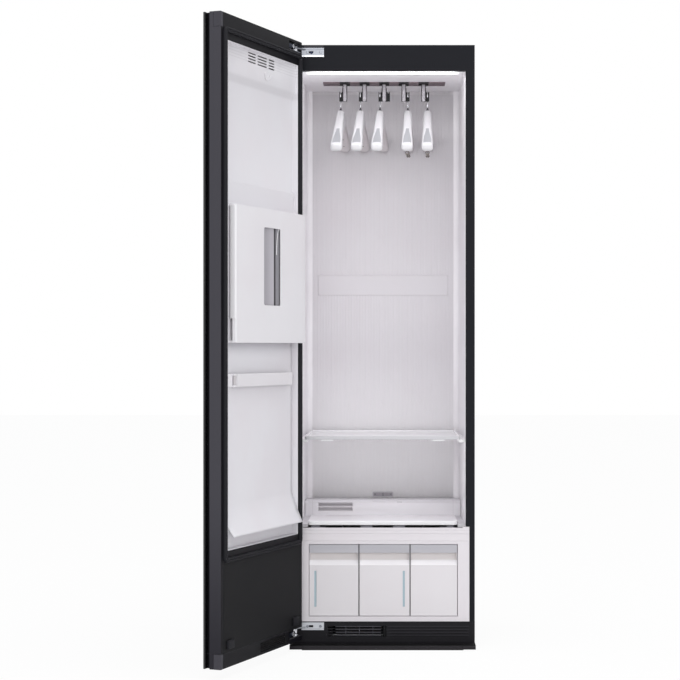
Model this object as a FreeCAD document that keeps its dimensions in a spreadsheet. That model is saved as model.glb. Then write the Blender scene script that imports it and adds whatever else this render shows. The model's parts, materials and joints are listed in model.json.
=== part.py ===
import FreeCAD, Part
import math
import os
import Sketcher

# Clothes care steam cabinet.  Millimetres, +Z up, +X to the right of somebody who stands in front
# of it and +Y into it.  The origin is on the floor, in the middle of the plane of the front frame.
# The door stands open at door_open_angle, and every other moving piece is at home.

SIZES = {
    # outer case
    "cabinet_width": 600,
    "cabinet_height": 1960,
    "cabinet_depth": 553.5,
    "sheet_wall": 1.2,
    "sheet_return": 14,
    "base_height": 15,
    "base_wall": 2,
    "base_flange": 24,
    "foot_radius": 17,
    "foot_inset": 45,
    "foot_pad": 6,
    "foot_stem_radius": 5,
    "foot_flats": 12,
    "foot_stem_flats": 6,
    "louvre_inset": 70,
    "louvre_width": 120,
    "louvre_lift": 50,
    "louvre_height": 8,
    "louvre_span": 144,
    "louvre_count": 10,
    # front frame, kick panel and plinth
    "frame_depth": 24,
    "frame_round": 3,
    "column_width": 29,
    "top_bar": 84,
    "lower_strip": 17.5,
    "kick_height": 67.6,
    "lower_frame_height": 308.4,
    "lower_lip_half": 262,
    "lower_lip_drop": 3.5,
    "lower_line": 1.2,
    "lower_line_high": 12,
    "lower_line_middle": 23.5,
    "lower_line_low": 46.7,
    "plinth_reach": 66.5,
    "plinth_back": 40,
    "plinth_cap": 40,
    "plinth_cap_lift": 2,
    "kick_slot_left": -178,
    "kick_slot_right": 12,
    "kick_slot_bottom": 34,
    "kick_slot_top": 70,
    "kick_slats": 4,
    "kick_groove": 2.4,
    "kick_groove_gap": 14,
    "kick_groove_inset": 21,
    # liner of the wardrobe
    "liner_wall": 3,
    "liner_taper": 4,
    "liner_corner": 16,
    "liner_bottom": 364,
    "back_wall_face": 475,
    "rib_field": 496,
    "rib_pitch": 9.92,
    "rib_depth": 1.2,
    "rib_width": 5,
    "rib_slope": 0.3,
    "rib_lift": 2,
    "band_width": 454,
    "band_bottom": 1160,
    "band_top": 1228,
    "band_relief": 4,
    "ledge_width": 22,
    "ledge_drop": 9,
    "ledge_back_gap": 4,
    # ceiling
    "ceiling_wall": 3,
    "lamp_width": 500,
    "lamp_front": 26,
    "lamp_depth": 30,
    "lamp_drop": 4,
    "lamp_round": 3,
    "slot_cover_width": 415,
    "slot_cover_depth": 69,
    "slot_cover_drop": 4,
    "slot_cover_border": 12,
    "guide_inset": 2,
    # hooks and hangers, with their drops measured from the ceiling
    "hook_count": 5,
    "hook_pitch": 67,
    "hook_offset": 4.5,
    "hook_line": 281.5,
    "hook_width": 15.7,
    "hook_thick": 2.5,
    "hook_drop": 62,
    "hook_slot_width": 34,
    "hook_slot_depth": 24,
    "hook_bar_depth": 24,
    "hook_bar_height": 10,
    "hook_bar_lift": 7,
    "hook_bar_gap": 2,
    "hook_tip_flat": 1,
    "hook_guide": 16,
    "shake_travel": 6,
    "cradle_reach": 11.5,
    "cradle_thick": 10,
    "cradle_lift": 6,
    "cradle_height": 34,
    "notch_depth": 14,
    "notch_steep": 5,
    "notch_offset": 14,
    "wire_size": 3.5,
    "wire_flats": 8,
    "wire_loop": 12,
    "wire_shank": 30,
    "wire_bend": 10,
    "wire_turn": 200,
    "wire_root": 8,
    "wire_gap": 0.3,
    "hanger_drop": 91,
    "hanger_height": 161,
    "hanger_front": 199,
    "hanger_rear": 187,
    "hanger_rear_lift": 38,
    "hanger_tip": 12,
    "hanger_shoulder": 38,
    "hanger_slope_run": 26,
    "hanger_crown": 46,
    "hanger_crown_drop": 26,
    "hanger_neck_length": 24,
    "hanger_neck_width": 25,
    "hanger_end_width": 40,
    "hanger_end_taper": 45,
    "hanger_end_round": 9,
    "hanger_thick": 34,
    "hanger_under_inset": 6,
    "hanger_under_run": 34,
    "hanger_under_rise": 2,
    "hanger_tip_lean": 2,
    "hanger_tip_drop": 16,
    "hanger_shoulder_rise": 4,
    "hanger_slim_run": 20,
    "hanger_blunt_run": 14,
    "hanger_arch_round": 30,
    "hanger_twist_left": 3.2,
    "hanger_twist_right": 1.5,
    "clip_bar_radius": 2.5,
    "clip_bar_lift": 22,
    "clip_bar_inset": 36,
    "clip_inset": 58,
    "clip_width": 14,
    "clip_length": 18,
    "clip_height": 32,
    "clip_rise": 4,
    "clip_post": 8,
    # shelf, bench and floor
    "shelf_width": 508,
    "shelf_front": 15,
    "shelf_bottom": 674,
    "shelf_thick": 11,
    "shelf_back_gap": 4,
    "shelf_front_corner": 4,
    "shelf_back_corner": 14,
    "shelf_rim": 9,
    "shelf_rim_front": 3,
    "shelf_rim_back": 8,
    "shelf_dish": 4,
    "shelf_lug_width": 40,
    "shelf_lug_place": 182,
    "shelf_lug_drop": 6,
    "shelf_lug_front": 14,
    "shelf_lug_back": 44,
    "bench_face": 310,
    "bench_floor": 400,
    "bench_top": 452,
    "bench_back_top": 446,
    "bench_corner": 18,
    "bench_back_gap": 2,
    "bench_slope_run": 14,
    "bench_slope_drop": 10,
    "sill_drop": 2,
    "tub_floor_wall": 4,
    "floor_plate_half": 245,
    "floor_plate_front": 40,
    "floor_plate_wall": 7,
    "floor_plate_lip": 3,
    "floor_plate_crest": 5,
    "floor_plate_run": 4,
    "floor_plate_round": 12,
    "intake_bottom": 383,
    "intake_depth": 70,
    "intake_inset": 11,
    "intake_sill_back": 6,
    "intake_post_back": 10,
    "post_a_left": -234,
    "post_a_right": -206,
    "post_b_left": -131,
    "post_b_right": -129,
    "post_c_left": -72,
    "post_c_right": -32,
    "post_d_left": 35,
    "post_d_right": 75,
    "post_e_left": 129,
    "post_e_right": 131,
    "post_f_left": 211,
    "post_f_right": 232,
    "vent_width": 117,
    "vent_height": 27,
    "vent_right": -103,
    "vent_bottom": 414,
    "vent_bar": 6,
    "vent_rows": 2,
    "vent_depth": 12,
    "outlet_width": 92,
    "outlet_place": 32,
    "outlet_slot": 6,
    "outlet_depth": 16,
    "outlet_span": 24,
    "outlet_count": 3,
    "sensor_width": 73,
    "sensor_height": 18,
    "sensor_bottom": 449,
    "sensor_wall": 4,
    "sensor_round": 3,
    # tanks
    "bin_left": -239,
    "bin_first_gap": -77.5,
    "bin_second_gap": 89,
    "bin_right": 243,
    "bin_gap": 1.4,
    "bin_bottom": 100.5,
    "bin_top": 333,
    "bin_border": 1.5,
    "bin_depth": 225,
    "bin_front": 22,
    "bin_face": 3,
    "bin_bar_height": 27,
    "grip_height": 25,
    "grip_depth": 17,
    "grip_lip": 16,
    "grip_slope": 2,
    "grip_lip_depth": 5,
    "grip_side": 2,
    "gauge_width": 7,
    "gauge_bottom": 130,
    "gauge_top": 247,
    "gauge_inset": 16,
    "gauge_face": 2,
    "bay_wall": 3,
    "bay_foot_inset": 8,
    "bay_foot_width": 30,
    "bay_foot_front": 30,
    "vessel_side_gap": 1,
    "vessel_back_gap": 4,
    # door
    "door_width": 590,
    "door_bottom": 31,
    "door_side_gap": 5,
    "door_face_gap": 9,
    "door_body": 51,
    "door_glass": 6.5,
    "door_glass_round": 1.5,
    "door_open_angle": 111,
    "grip_channel": 14,
    "grip_channel_depth": 16,
    "end_cap_height": 45,
    "end_cap_depth": 24,
    "end_cap_reach": 16,
    "end_cap_seam": 0.5,
    "liner_left": 31,
    "liner_right": 542,
    "liner_low": 375,
    "liner_top_gap": 78,
    "door_liner_back": 45,
    "door_recess": 20,
    "door_header_recess": 10,
    "door_header_height": 88,
    "door_header_slope": 18,
    "door_band_low": 1400,
    "door_band_high": 1470,
    "door_band_recess": 13,
    "header_slot_count": 4,
    "header_slot_pitch": 8.9,
    "header_slot": 4,
    "header_slot_lift": 48,
    "header_slot_depth": 8,
    "header_near_left": 188,
    "header_near_right": 233,
    "header_middle_left": 243,
    "header_middle_right": 314,
    "header_far_left": 324,
    "header_far_right": 381,
    "trouser_hook_place": 262,
    "trouser_hook_plate": 12,
    "trouser_hook_height": 23,
    "trouser_hook_lift": 9,
    "trouser_hook_reach": 13,
    "trouser_hook_thick": 3,
    "trouser_hook_neck": 5,
    "trouser_hook_tip": 8,
    "trouser_hook_tip_side": 2,
    "trouser_hook_tip_wall": 2,
    "gasket_left": 12,
    "gasket_right": 572,
    "gasket_low": 341,
    "gasket_top_gap": 41,
    "gasket_width": 15,
    "gasket_height": 8.7,
    "gasket_groove": 2,
    "lower_panel_low": 74,
    "lower_panel_high": 339,
    "lower_panel_wall": 3,
    "door_vent_left": 125,
    "door_vent_right": 319,
    "door_vent_low": 38,
    "door_vent_high": 68,
    "door_vent_slats": 5,
    "door_vent_depth": 10,
    "door_vent_slot_depth": 8,
    "door_vent_border": 4,
    "door_vent_slat": 3,
    "bumper_width": 41,
    "bumper_low": 86,
    "bumper_height": 14,
    "bumper_near": 36,
    "bumper_far": 511,
    "bumper_round": 3,
    # press in the door
    "press_left": 31,
    "press_right": 537,
    "press_low": 989,
    "press_high": 1399,
    "press_face": 24,
    "press_back": 0.5,
    "press_edge_front": 6,
    "press_edge_back": 7,
    "press_lug_gap": 0.5,
    "press_lug_low": 6,
    "press_lug_high": 5,
    "press_lug_back": 2,
    "press_board_drop": 1,
    "press_wall": 3,
    "press_window_left": 218,
    "press_window_right": 341,
    "press_window_low": 1104,
    "press_window_high": 1342,
    "press_window_corner": 8,
    "press_pivot_inset": 8,
    "press_pivot_face": 14,
    "press_barrel": 6,
    "press_barrel_top": 1060,
    "press_pin": 2.5,
    "press_pin_low": 13,
    "press_pin_high": 12,
    "press_pin_drop": 16,
    "press_bore_low": 15.5,
    "press_bore_high": 15,
    "press_bore_past": 2,
    "press_notch_reach": 12,
    "press_hollow_inset": 14,
    "sheet_left": 35,
    "sheet_right": 538,
    "sheet_low": 415,
    "sheet_flare_from": 510,
    "sheet_flare": 38,
    "film": 1.2,
    "film_lift": 0.4,
    "film_edge": 0.4,
    "film_bend": 2,
    "bar_left": 77,
    "bar_right": 477,
    "bar_low": 857,
    "bar_high": 896,
    "bar_thick": 4,
    "bar_face": 0,
    "bar_pivot_reach": 8,
    "bar_pivot_back": 3,
    "bar_pin": 2,
    "bar_knuckle": 5,
    "bar_tongue_back": 2,
    "bar_tongue_front": 0.5,
    "clevis_start": 2,
    "clevis_end": 18,
    "clevis_back": 9,
    "clevis_front": 1,
    "clevis_wall": 5,
    "clevis_pin_inset": 4,
    "bracket_start": 16,
    "bracket_front": 5,
    # hinges
    "hinge_pole_side": 12.5,
    "hinge_pole_front": 24.2,
    "hinge_link": 28,
    "hinge_eye": 6.5,
    "hinge_pin": 3.5,
    "hinge_plate_left": -264,
    "hinge_plate_width": 73,
    "hinge_plate_wall": 4,
    "hinge_arm_root": 13,
    "hinge_arm_nose": 3,
    "hinge_arm_cheek": 2,
    "hinge_arm_tuck": 0.5,
    "hinge_screw_near": 19.5,
    "hinge_screw_far": 61.5,
    "hinge_bracket_wall": 3,
    "hinge_link_wall": 14,
    "hinge_arm_wall": 4,
    "upper_pocket_drop": 35,
    "lower_pocket_lift": 14,
    "hinge_pocket": 27,
    "hinge_pocket_depth": 100,
    "hinge_pocket_reach": 48,
    "hinge_pocket_shallow": 8,
    "upper_plate_drop": 4,
    "upper_plate_height": 29,
    "lower_plate_lift": 10,
    "lower_plate_height": 25,
    "hinge_slot_left": 24,
    "hinge_slot_width": 14,
    "hinge_slot_height": 7,
    "hinge_screw_head": 4.6,
    "hinge_screw_height": 2.2,
    "hinge_screw_flats": 12,
    "link_waist": 0.75,
    "strap_start": 3,
    "strap_outer": 4,
    "strap_inner": 7.5,
    "strap_bend": 46,
    "strap_end": 90,
    "strap_seat": 0.5,
    # machine compartment
    "can_flats": 24,
    "pipe_flats": 8,
    "small_can_flats": 12,
    "pipe_radius": 4,
    "fan_radius": 58,
    "fan_width": 46,
    "fan_blades": 12,
    "fan_shaft": 4,
    "fan_x": 190,
    "fan_z": 200,
    "fan_back_gap": 34.1,
    "fan_motor": 29,
    "fan_shell": 3,
    "fan_gap": 14,
    "fan_clear": 6,
    "fan_mouth_rise": 20,
    "fan_leg_near": 28,
    "fan_leg_far": 40,
    "fan_duct_inset": 10,
    "fan_inlet_step": 16,
    "fan_motor_radius": 26,
    "fan_shaft_start": 8,
    "fan_hub": 14,
    "fan_hub_step": 8,
    "fan_disc": 3,
    "blade_run": 18,
    "blade_foot": 1,
    "blade_tip_low": 5,
    "blade_tip_high": 7.4,
    "blade_foot_high": 1.4,
    "blade_edge": 1,
    "blade_gap": 2,
    "compressor_radius": 60,
    "compressor_height": 165,
    "compressor_x": -185,
    "compressor_gap": 25,
    "compressor_lift": 8,
    "compressor_lid": 18,
    "compressor_step": 14,
    "compressor_flange": 6,
    "compressor_foot": 10,
    "compressor_pipe_place": 18,
    "compressor_pipe_rise": 27,
    "compressor_pipe_root": 3,
    "coil_left": -99,
    "coil_width": 200,
    "coil_depth": 45,
    "coil_height": 200,
    "coil_tray": 24,
    "fin_count": 12,
    "fin_share": 0.6,
    "fin_border": 6,
    "fin_depth_gap": 8,
    "tube_reach": 12,
    "tube_root": 2,
    "tube_low": 40,
    "tube_pitch": 60,
    "tube_count": 3,
    "coil_bay_gap": 26,
    "coil_gap": 18,
    "tray_side": 14,
    "tray_border": 8,
    "boiler_radius": 32,
    "boiler_length": 150,
    "boiler_back_gap": 8,
    "boiler_foot": 10,
    "boiler_lift": 230,
    "boiler_inset": 75,
    "boiler_stand": 12,
    "boiler_stand_inset": 14,
    "boiler_outlet": 5,
    "boiler_outlet_rise": 24,
    "pump_gap": 50,
    "pump_half": 19,
    "pump_base": 26,
    "pump_radius": 15,
    "pump_height": 68,
    "pump_pipe_level": 14,
    "pump_pipe_reach": 32,
    "pump_near": -50,
    "pump_far": 10,
    "control_inset": 26,
    "control_wall": 14,
    "control_front": 60,
    "control_back": 240,
    "control_height": 250,
    "relay_front": 80,
    "relay_back": 120,
    "relay_low": 60,
    "relay_high": 110,
    "relay_wall": 9,
    "plug_front": 140,
    "plug_back": 200,
    "plug_low": 130,
    "plug_high": 160,
    "plug_wall": 7,
    "motor_place": 60,
    "motor_gap": 36,
    "motor_flange_width": 68,
    "motor_flange_depth": 60,
    "motor_flange": 5,
    "motor_radius": 26,
    "motor_height": 44,
    "motor_neck": 12,
    "motor_neck_height": 51,
    # clearances
    "running": 0.05,
    "apart": 0.3,
}

doc = FreeCAD.newDocument("steam_cabinet")
sheet = doc.addObject("Spreadsheet::Sheet", "sizes")
for row, (alias, amount) in enumerate(SIZES.items(), start=1):
    sheet.set("A%d" % row, alias.replace("_", " "))
    sheet.set("B%d" % row, str(amount))
    sheet.setAlias("B%d" % row, alias)
doc.recompute()


class Size:
    """A length with its value now and the expression that ties it to the sheet."""

    def __init__(self, value, text):
        self.value = float(value)
        self.text = text

    def __add__(self, other):
        other = as_size(other)
        return Size(self.value + other.value, "(%s + %s)" % (self.text, other.text))

    def __sub__(self, other):
        other = as_size(other)
        return Size(self.value - other.value, "(%s - %s)" % (self.text, other.text))

    def __mul__(self, other):
        other = as_size(other)
        return Size(self.value * other.value, "(%s * %s)" % (self.text, other.text))

    def __truediv__(self, other):
        other = as_size(other)
        return Size(self.value / other.value, "(%s / %s)" % (self.text, other.text))

    def __radd__(self, other):
        return as_size(other) + self

    def __rsub__(self, other):
        return as_size(other) - self

    def __rmul__(self, other):
        return as_size(other) * self

    def __neg__(self):
        return Size(-self.value, "(-1 * %s)" % self.text)


def as_size(number):
    return number if isinstance(number, Size) else Size(number, "(%s)" % float(number))


def cosine(angle):
    return Size(math.cos(math.radians(angle.value)), "cos(%s)" % angle.text)


def sine(angle):
    return Size(math.sin(math.radians(angle.value)), "sin(%s)" % angle.text)


def root(amount):
    return Size(math.sqrt(amount.value), "sqrt(%s)" % amount.text)


class Cells:
    """Reads the sheet: s.door_width is the cell with that alias."""

    def __getattr__(self, alias):
        return Size(SIZES[alias], "sizes." + alias)


s = Cells()


def bind(item, path, amount):
    item.setExpression(path, as_size(amount).text)


# ---- primitives and booleans ------------------------------------------------------------------

def box(x, y, z):
    item = doc.addObject("Part::Box", "block")
    for path, (low, high) in (("Length", x), ("Width", y), ("Height", z)):
        bind(item, path, as_size(high) - low)
    for axis, span in zip("xyz", (x, y, z)):
        bind(item, "Placement.Base." + axis, span[0])
    return item


TURNS = {
    "X": FreeCAD.Rotation(FreeCAD.Vector(0, 1, 0), 90),
    "Y": FreeCAD.Rotation(FreeCAD.Vector(1, 0, 0), -90),
    "Z": FreeCAD.Rotation(),
}


def rod(axis, start, radius, length):
    item = doc.addObject("Part::Cylinder", "rod")
    item.Placement = FreeCAD.Placement(FreeCAD.Vector(), TURNS[axis])
    bind(item, "Radius", radius)
    bind(item, "Height", length)
    for letter, amount in zip("xyz", start):
        bind(item, "Placement.Base." + letter, amount)
    return item


def fuse(*parts):
    item = doc.addObject("Part::MultiFuse", "join")
    item.Shapes = list(parts)
    item.Refine = True
    return item


def cut(base, *tools):
    item = doc.addObject("Part::Cut", "cut")
    item.Base = base
    item.Tool = tools[0] if len(tools) == 1 else fuse(*tools)
    item.Refine = True
    return item


def common(first, second):
    item = doc.addObject("Part::Common", "shared")
    item.Base = first
    item.Tool = second
    item.Refine = True
    return item


def group(*parts):
    item = doc.addObject("Part::Compound", "group")
    item.Links = list(parts)
    return item


# ---- sketched bodies --------------------------------------------------------------------------

def origin_part(body, role):
    return next(item for item in body.Origin.OriginFeatures if item.Role == role)


def outline(sketch, points):
    """Straight-sided closed outline; each corner is held by its own two distances."""
    first = sketch.GeometryCount
    count = len(points)
    spots = [FreeCAD.Vector(as_size(u).value, as_size(v).value, 0) for u, v in points]
    sketch.addGeometry([Part.LineSegment(spots[n], spots[(n + 1) % count]) for n in range(count)], False)
    sketch.addConstraint([Sketcher.Constraint("Coincident", first + n, 2, first + (n + 1) % count, 1)
                          for n in range(count)])
    for n, (u, v) in enumerate(points):
        for kind, amount in (("DistanceX", u), ("DistanceY", v)):
            number = sketch.addConstraint(
                Sketcher.Constraint(kind, -1, 1, first + n, 1, as_size(amount).value))
            bind(sketch, "Constraints[%d]" % number, amount)


def ring(sketch, u, v, radius):
    """Circle at u, v."""
    first = sketch.GeometryCount
    centre = FreeCAD.Vector(as_size(u).value, as_size(v).value, 0)
    sketch.addGeometry(Part.Circle(centre, FreeCAD.Vector(0, 0, 1), as_size(radius).value), False)
    for kind, amount in (("DistanceX", u), ("DistanceY", v)):
        number = sketch.addConstraint(
            Sketcher.Constraint(kind, -1, 1, first, 3, as_size(amount).value))
        bind(sketch, "Constraints[%d]" % number, amount)
    number = sketch.addConstraint(Sketcher.Constraint("Radius", first, as_size(radius).value))
    bind(sketch, "Constraints[%d]" % number, radius)


def sketch_on(body, plane, offset):
    sketch = body.newObject("Sketcher::SketchObject", "outline")
    sketch.AttachmentSupport = (origin_part(body, plane + "_Plane"), [""])
    sketch.MapMode = "FlatFace"
    bind(sketch, "AttachmentOffset.Base.z", offset)
    return sketch


def draw(sketch, shapes):
    for shape in shapes:
        if len(shape) == 3 and not isinstance(shape[0], tuple):
            ring(sketch, *shape)
        else:
            outline(sketch, shape)


def pad(body, plane, shapes, low, high):
    """Raise the outlines from low to high along the plane's row axis."""
    sketch = sketch_on(body, plane, -as_size(high) if plane == "XZ" else low)
    draw(sketch, shapes)
    feature = body.newObject("PartDesign::Pad", "pad")
    feature.Profile = sketch
    bind(feature, "Length", as_size(high) - low)
    sketch.Visibility = False
    return feature


def pocket(body, plane, shapes, low, high):
    """Cut the outlines from low to high along the plane's row axis."""
    doc.recompute()
    before = body.Shape.Volume
    sketch = sketch_on(body, plane, -as_size(low) if plane == "XZ" else high)
    draw(sketch, shapes)
    feature = body.newObject("PartDesign::Pocket", "pocket")
    feature.Profile = sketch
    bind(feature, "Length", as_size(high) - low)
    doc.recompute()
    if body.Shape.Volume > before - 1e-3:
        raise ValueError("a pocket cuts nothing in " + body.Name)
    return feature


def prism(plane, shapes, low, high):
    body = doc.addObject("PartDesign::Body", "body")
    pad(body, plane, shapes, low, high)
    return body


def rectangle(u, v):
    return [(u[0], v[0]), (u[1], v[0]), (u[1], v[1]), (u[0], v[1])]


def round_edges(body, radius, wanted):
    """Fillet the edges of the body whose middle and direction pass the test."""
    doc.recompute()
    tip = body.Tip
    names = []
    for number, edge in enumerate(tip.Shape.Edges, start=1):
        middle = edge.CenterOfMass
        along = edge.tangentAt(edge.FirstParameter)
        if wanted(middle, along):
            names.append("Edge%d" % number)
    if not names:
        raise ValueError("no edge to round in " + body.Name)
    feature = body.newObject("PartDesign::Fillet", "rounding")
    feature.Base = (tip, names)
    bind(feature, "Radius", radius)
    return feature


def polygon(u, v, radius, sides):
    """Corners of a regular outline about u, v, for wires and plain hidden rods."""
    sides = round(sides)
    turns = [2 * math.pi * (number + 0.5) / sides for number in range(sides)]
    return [(u + radius * math.cos(turn), v + radius * math.sin(turn)) for turn in turns]


def repeat(body, feature, axis, length, count):
    pattern = body.newObject("PartDesign::LinearPattern", "repeat")
    pattern.Originals = [feature]
    pattern.Direction = (origin_part(body, axis + "_Axis"), [""])
    bind(pattern, "Length", length)
    bind(pattern, "Occurrences", count)
    body.Tip = pattern
    return pattern


def near(amount, target, slack=0.5):
    return abs(amount - as_size(target).value) < slack


# ---- levels that several pieces share ---------------------------------------------------------

half = s.cabinet_width / 2
kick_top = s.base_height + s.kick_height
lower_top = kick_top + s.lower_frame_height
ceiling = s.cabinet_height - s.top_bar
opening = half - s.column_width
lower_opening = half - s.lower_strip
back_face = s.back_wall_face
liner_front = s.frame_depth
rib_half = s.rib_field / 2
liner_back = opening - s.liner_taper
machine_floor = s.base_height + s.base_wall
case_back = s.cabinet_depth - s.sheet_wall
liner_high = s.cabinet_height - s.liner_top_gap
header_low = liner_high - s.door_header_height
gasket_high = s.cabinet_height - s.gasket_top_gap
upper_pocket = s.cabinet_height - s.upper_pocket_drop
lower_pocket = s.door_bottom + s.lower_pocket_lift

nodes = {}


def node(label, item):
    item.Label = label
    nodes[label] = item
    return item


# ---- outer case -------------------------------------------------------------------------------

def side_panel(side):
    """Folded steel side: front and rear returns turn towards the middle."""
    outer = side * half
    inner = side * (half - s.sheet_wall)
    turned = side * (half - s.sheet_return)
    front = s.frame_depth
    shape = [(outer, front), (outer, case_back), (turned, case_back), (turned, case_back - s.sheet_wall),
             (inner, case_back - s.sheet_wall), (inner, front + s.sheet_wall),
             (turned, front + s.sheet_wall), (turned, front)]
    return prism("XY", [shape], s.base_height, s.cabinet_height - s.sheet_wall)


node("side_panel_left", side_panel(-1))
node("side_panel_right", side_panel(1))

top = prism("XY", [rectangle((-half, half), (s.frame_depth, s.cabinet_depth))],
            s.cabinet_height - s.sheet_wall, s.cabinet_height)
node("top_panel", top)

back_low = s.base_height
back_high = s.cabinet_height - s.sheet_wall
back = prism("XZ", [rectangle((-half, half), (back_low, back_high))], case_back, s.cabinet_depth)
louvre_low = back_low + s.louvre_lift
louvre_far = half - s.louvre_inset
louvre_near = louvre_far - s.louvre_width
for span in ((-louvre_far, -louvre_near), (louvre_near, louvre_far)):
    louvre = pocket(back, "XZ", [rectangle(span, (louvre_low, louvre_low + s.louvre_height))],
                    case_back - 1, s.cabinet_depth + 1)
    repeat(back, louvre, "Z", s.louvre_span, s.louvre_count)
node("back_panel", back)

base_side = half - s.sheet_wall
base_back = case_back - s.sheet_wall
base_shape = rectangle((-base_side, base_side), (s.frame_depth + s.sheet_wall, base_back))
base = prism("XY", [base_shape], s.base_height, machine_floor + s.base_flange)
tray = rectangle((-base_side + s.base_wall, base_side - s.base_wall),
                 (s.frame_depth + s.sheet_wall + s.base_wall, base_back - s.base_wall))
pocket(base, "XY", [tray], machine_floor, machine_floor + s.base_flange)
node("base_frame", base)

feet = []
for side in (-1, 1):
    for along in (s.plinth_back + s.foot_inset, s.cabinet_depth - s.foot_inset):
        place = (side * (half - s.foot_inset), along)
        pad_shape = polygon(*place, s.foot_radius, SIZES["foot_flats"])
        stem_shape = polygon(*place, s.foot_stem_radius, SIZES["foot_stem_flats"])
        feet.append(fuse(prism("XY", [pad_shape], 0, s.foot_pad),
                         prism("XY", [stem_shape], s.foot_pad, s.base_height)))
node("levelling_feet", group(*feet))

# The front frame is an upside-down U: two columns and the bar over the opening.
frame_shape = [(-half, kick_top), (-lower_opening, kick_top), (-lower_opening, lower_top),
               (-opening, lower_top), (-opening, ceiling), (opening, ceiling), (opening, lower_top),
               (lower_opening, lower_top), (lower_opening, kick_top), (half, kick_top),
               (half, s.cabinet_height), (-half, s.cabinet_height)]
front_frame = prism("XZ", [frame_shape], 0, s.frame_depth)
round_edges(front_frame, s.frame_round, lambda at, along: abs(along.z) > 0.9 and abs(at.x) > half.value - 1
            and at.y < 1)
node("front_frame", front_frame)

kick = prism("XZ", [rectangle((-half, half), (s.base_height, kick_top))], 0, s.frame_depth)
slot_rows = s.kick_slats
slot_pitch = (s.kick_slot_top - s.kick_slot_bottom) / slot_rows
slot_open = slot_pitch - s.kick_groove
kick_slot = pocket(kick, "XZ", [rectangle((s.kick_slot_left, s.kick_slot_right),
                                          (s.kick_slot_bottom, s.kick_slot_bottom + slot_open))],
                   -1, s.frame_depth + 1)
repeat(kick, kick_slot, "Z", s.kick_slot_top - s.kick_slot_bottom - slot_pitch, slot_rows)
groove_span = (s.kick_slot_right + s.kick_groove_gap, half - s.kick_groove_inset)
groove_rise = (s.kick_slot_bottom, s.kick_slot_bottom + s.kick_groove)
kick_groove = pocket(kick, "XZ", [rectangle(groove_span, groove_rise)], -1, s.kick_groove)
repeat(kick, kick_groove, "Z", s.kick_slot_top - s.kick_slot_bottom - slot_pitch, slot_rows)
node("kick_panel", kick)

# The plinth reaches forward under the door; its two ends are separate caps.
plinth_right = half - s.plinth_cap
plinth = prism("XY", [rectangle((-plinth_right, plinth_right), (-s.plinth_reach, s.plinth_back))],
               0, s.base_height)
round_edges(plinth, s.frame_round, lambda at, along: abs(along.x) > 0.9 and at.y < 0 and at.z > 1)
caps = [prism("XY", [rectangle(span, (-s.plinth_reach, s.plinth_back))], s.plinth_cap_lift, s.base_height)
        for span in ((-half, -plinth_right), (plinth_right, half))]
for cap in caps:
    round_edges(cap, s.frame_round, lambda at, along: abs(along.x) > 0.9 and at.y < 0 and at.z > 5)
node("plinth", group(plinth, *caps))


# ---- wardrobe liner ---------------------------------------------------------------------------

def liner(side):
    """Moulded side wall: it turns round the back corner, and carries the shelf on a ledge."""
    inner = [(side * opening, liner_front), (side * liner_back, back_face), (side * rib_half, back_face)]
    outer = [(side * rib_half, back_face + s.liner_wall), (side * (liner_back + s.liner_wall),
             back_face + s.liner_wall), (side * (opening + s.liner_wall), liner_front)]
    body = prism("XY", [inner + outer], s.liner_bottom, ceiling)
    round_edges(body, s.liner_corner, lambda at, along: abs(along.z) > 0.9 and near(at.y, back_face)
                and near(abs(at.x), liner_back))
    round_edges(body, s.liner_corner + s.liner_wall,
                lambda at, along: abs(along.z) > 0.9 and near(at.y, back_face + s.liner_wall)
                and near(abs(at.x), liner_back + s.liner_wall))
    ledge_top = s.shelf_bottom - s.apart
    ledge_back = back_face - s.liner_corner - s.ledge_back_gap
    ledge = [(side * (opening + 1), liner_front), (side * (liner_back + 1), ledge_back),
             (side * (opening - s.ledge_width), ledge_back),
             (side * (opening - s.ledge_width), liner_front)]
    pad(body, "XY", [ledge], ledge_top - s.ledge_drop, ledge_top)
    return body


node("liner_left", liner(-1))
node("liner_right", liner(1))

wall = prism("XY", [rectangle((-rib_half, rib_half), (back_face, back_face + s.liner_wall))],
             s.liner_bottom, ceiling)
rib_count = s.rib_field / s.rib_pitch
rib_start = -rib_half + (s.rib_pitch - s.rib_width) / 2
rib = [(rib_start, back_face), (rib_start + s.rib_width, back_face),
       (rib_start + s.rib_width * (1 - s.rib_slope), back_face - s.rib_depth),
       (rib_start + s.rib_width * s.rib_slope, back_face - s.rib_depth)]
first_rib = pad(wall, "XY", [rib], s.bench_top + s.rib_lift, ceiling)
repeat(wall, first_rib, "X", s.rib_field - s.rib_pitch, round(rib_count.value))
pad(wall, "XZ", [rectangle((-s.band_width / 2, s.band_width / 2), (s.band_bottom, s.band_top))],
    back_face - s.band_relief, back_face + 1)
node("back_wall", wall)

sensor = prism("XZ", [rectangle((-s.sensor_width / 2, s.sensor_width / 2),
                                (s.sensor_bottom, s.sensor_bottom + s.sensor_height))],
               back_face - s.rib_depth - s.sensor_wall, back_face - s.rib_depth)
round_edges(sensor, s.sensor_round, lambda at, along: abs(along.y) > 0.9)
node("sensor_plate", sensor)

# ---- ceiling ----------------------------------------------------------------------------------

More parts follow.
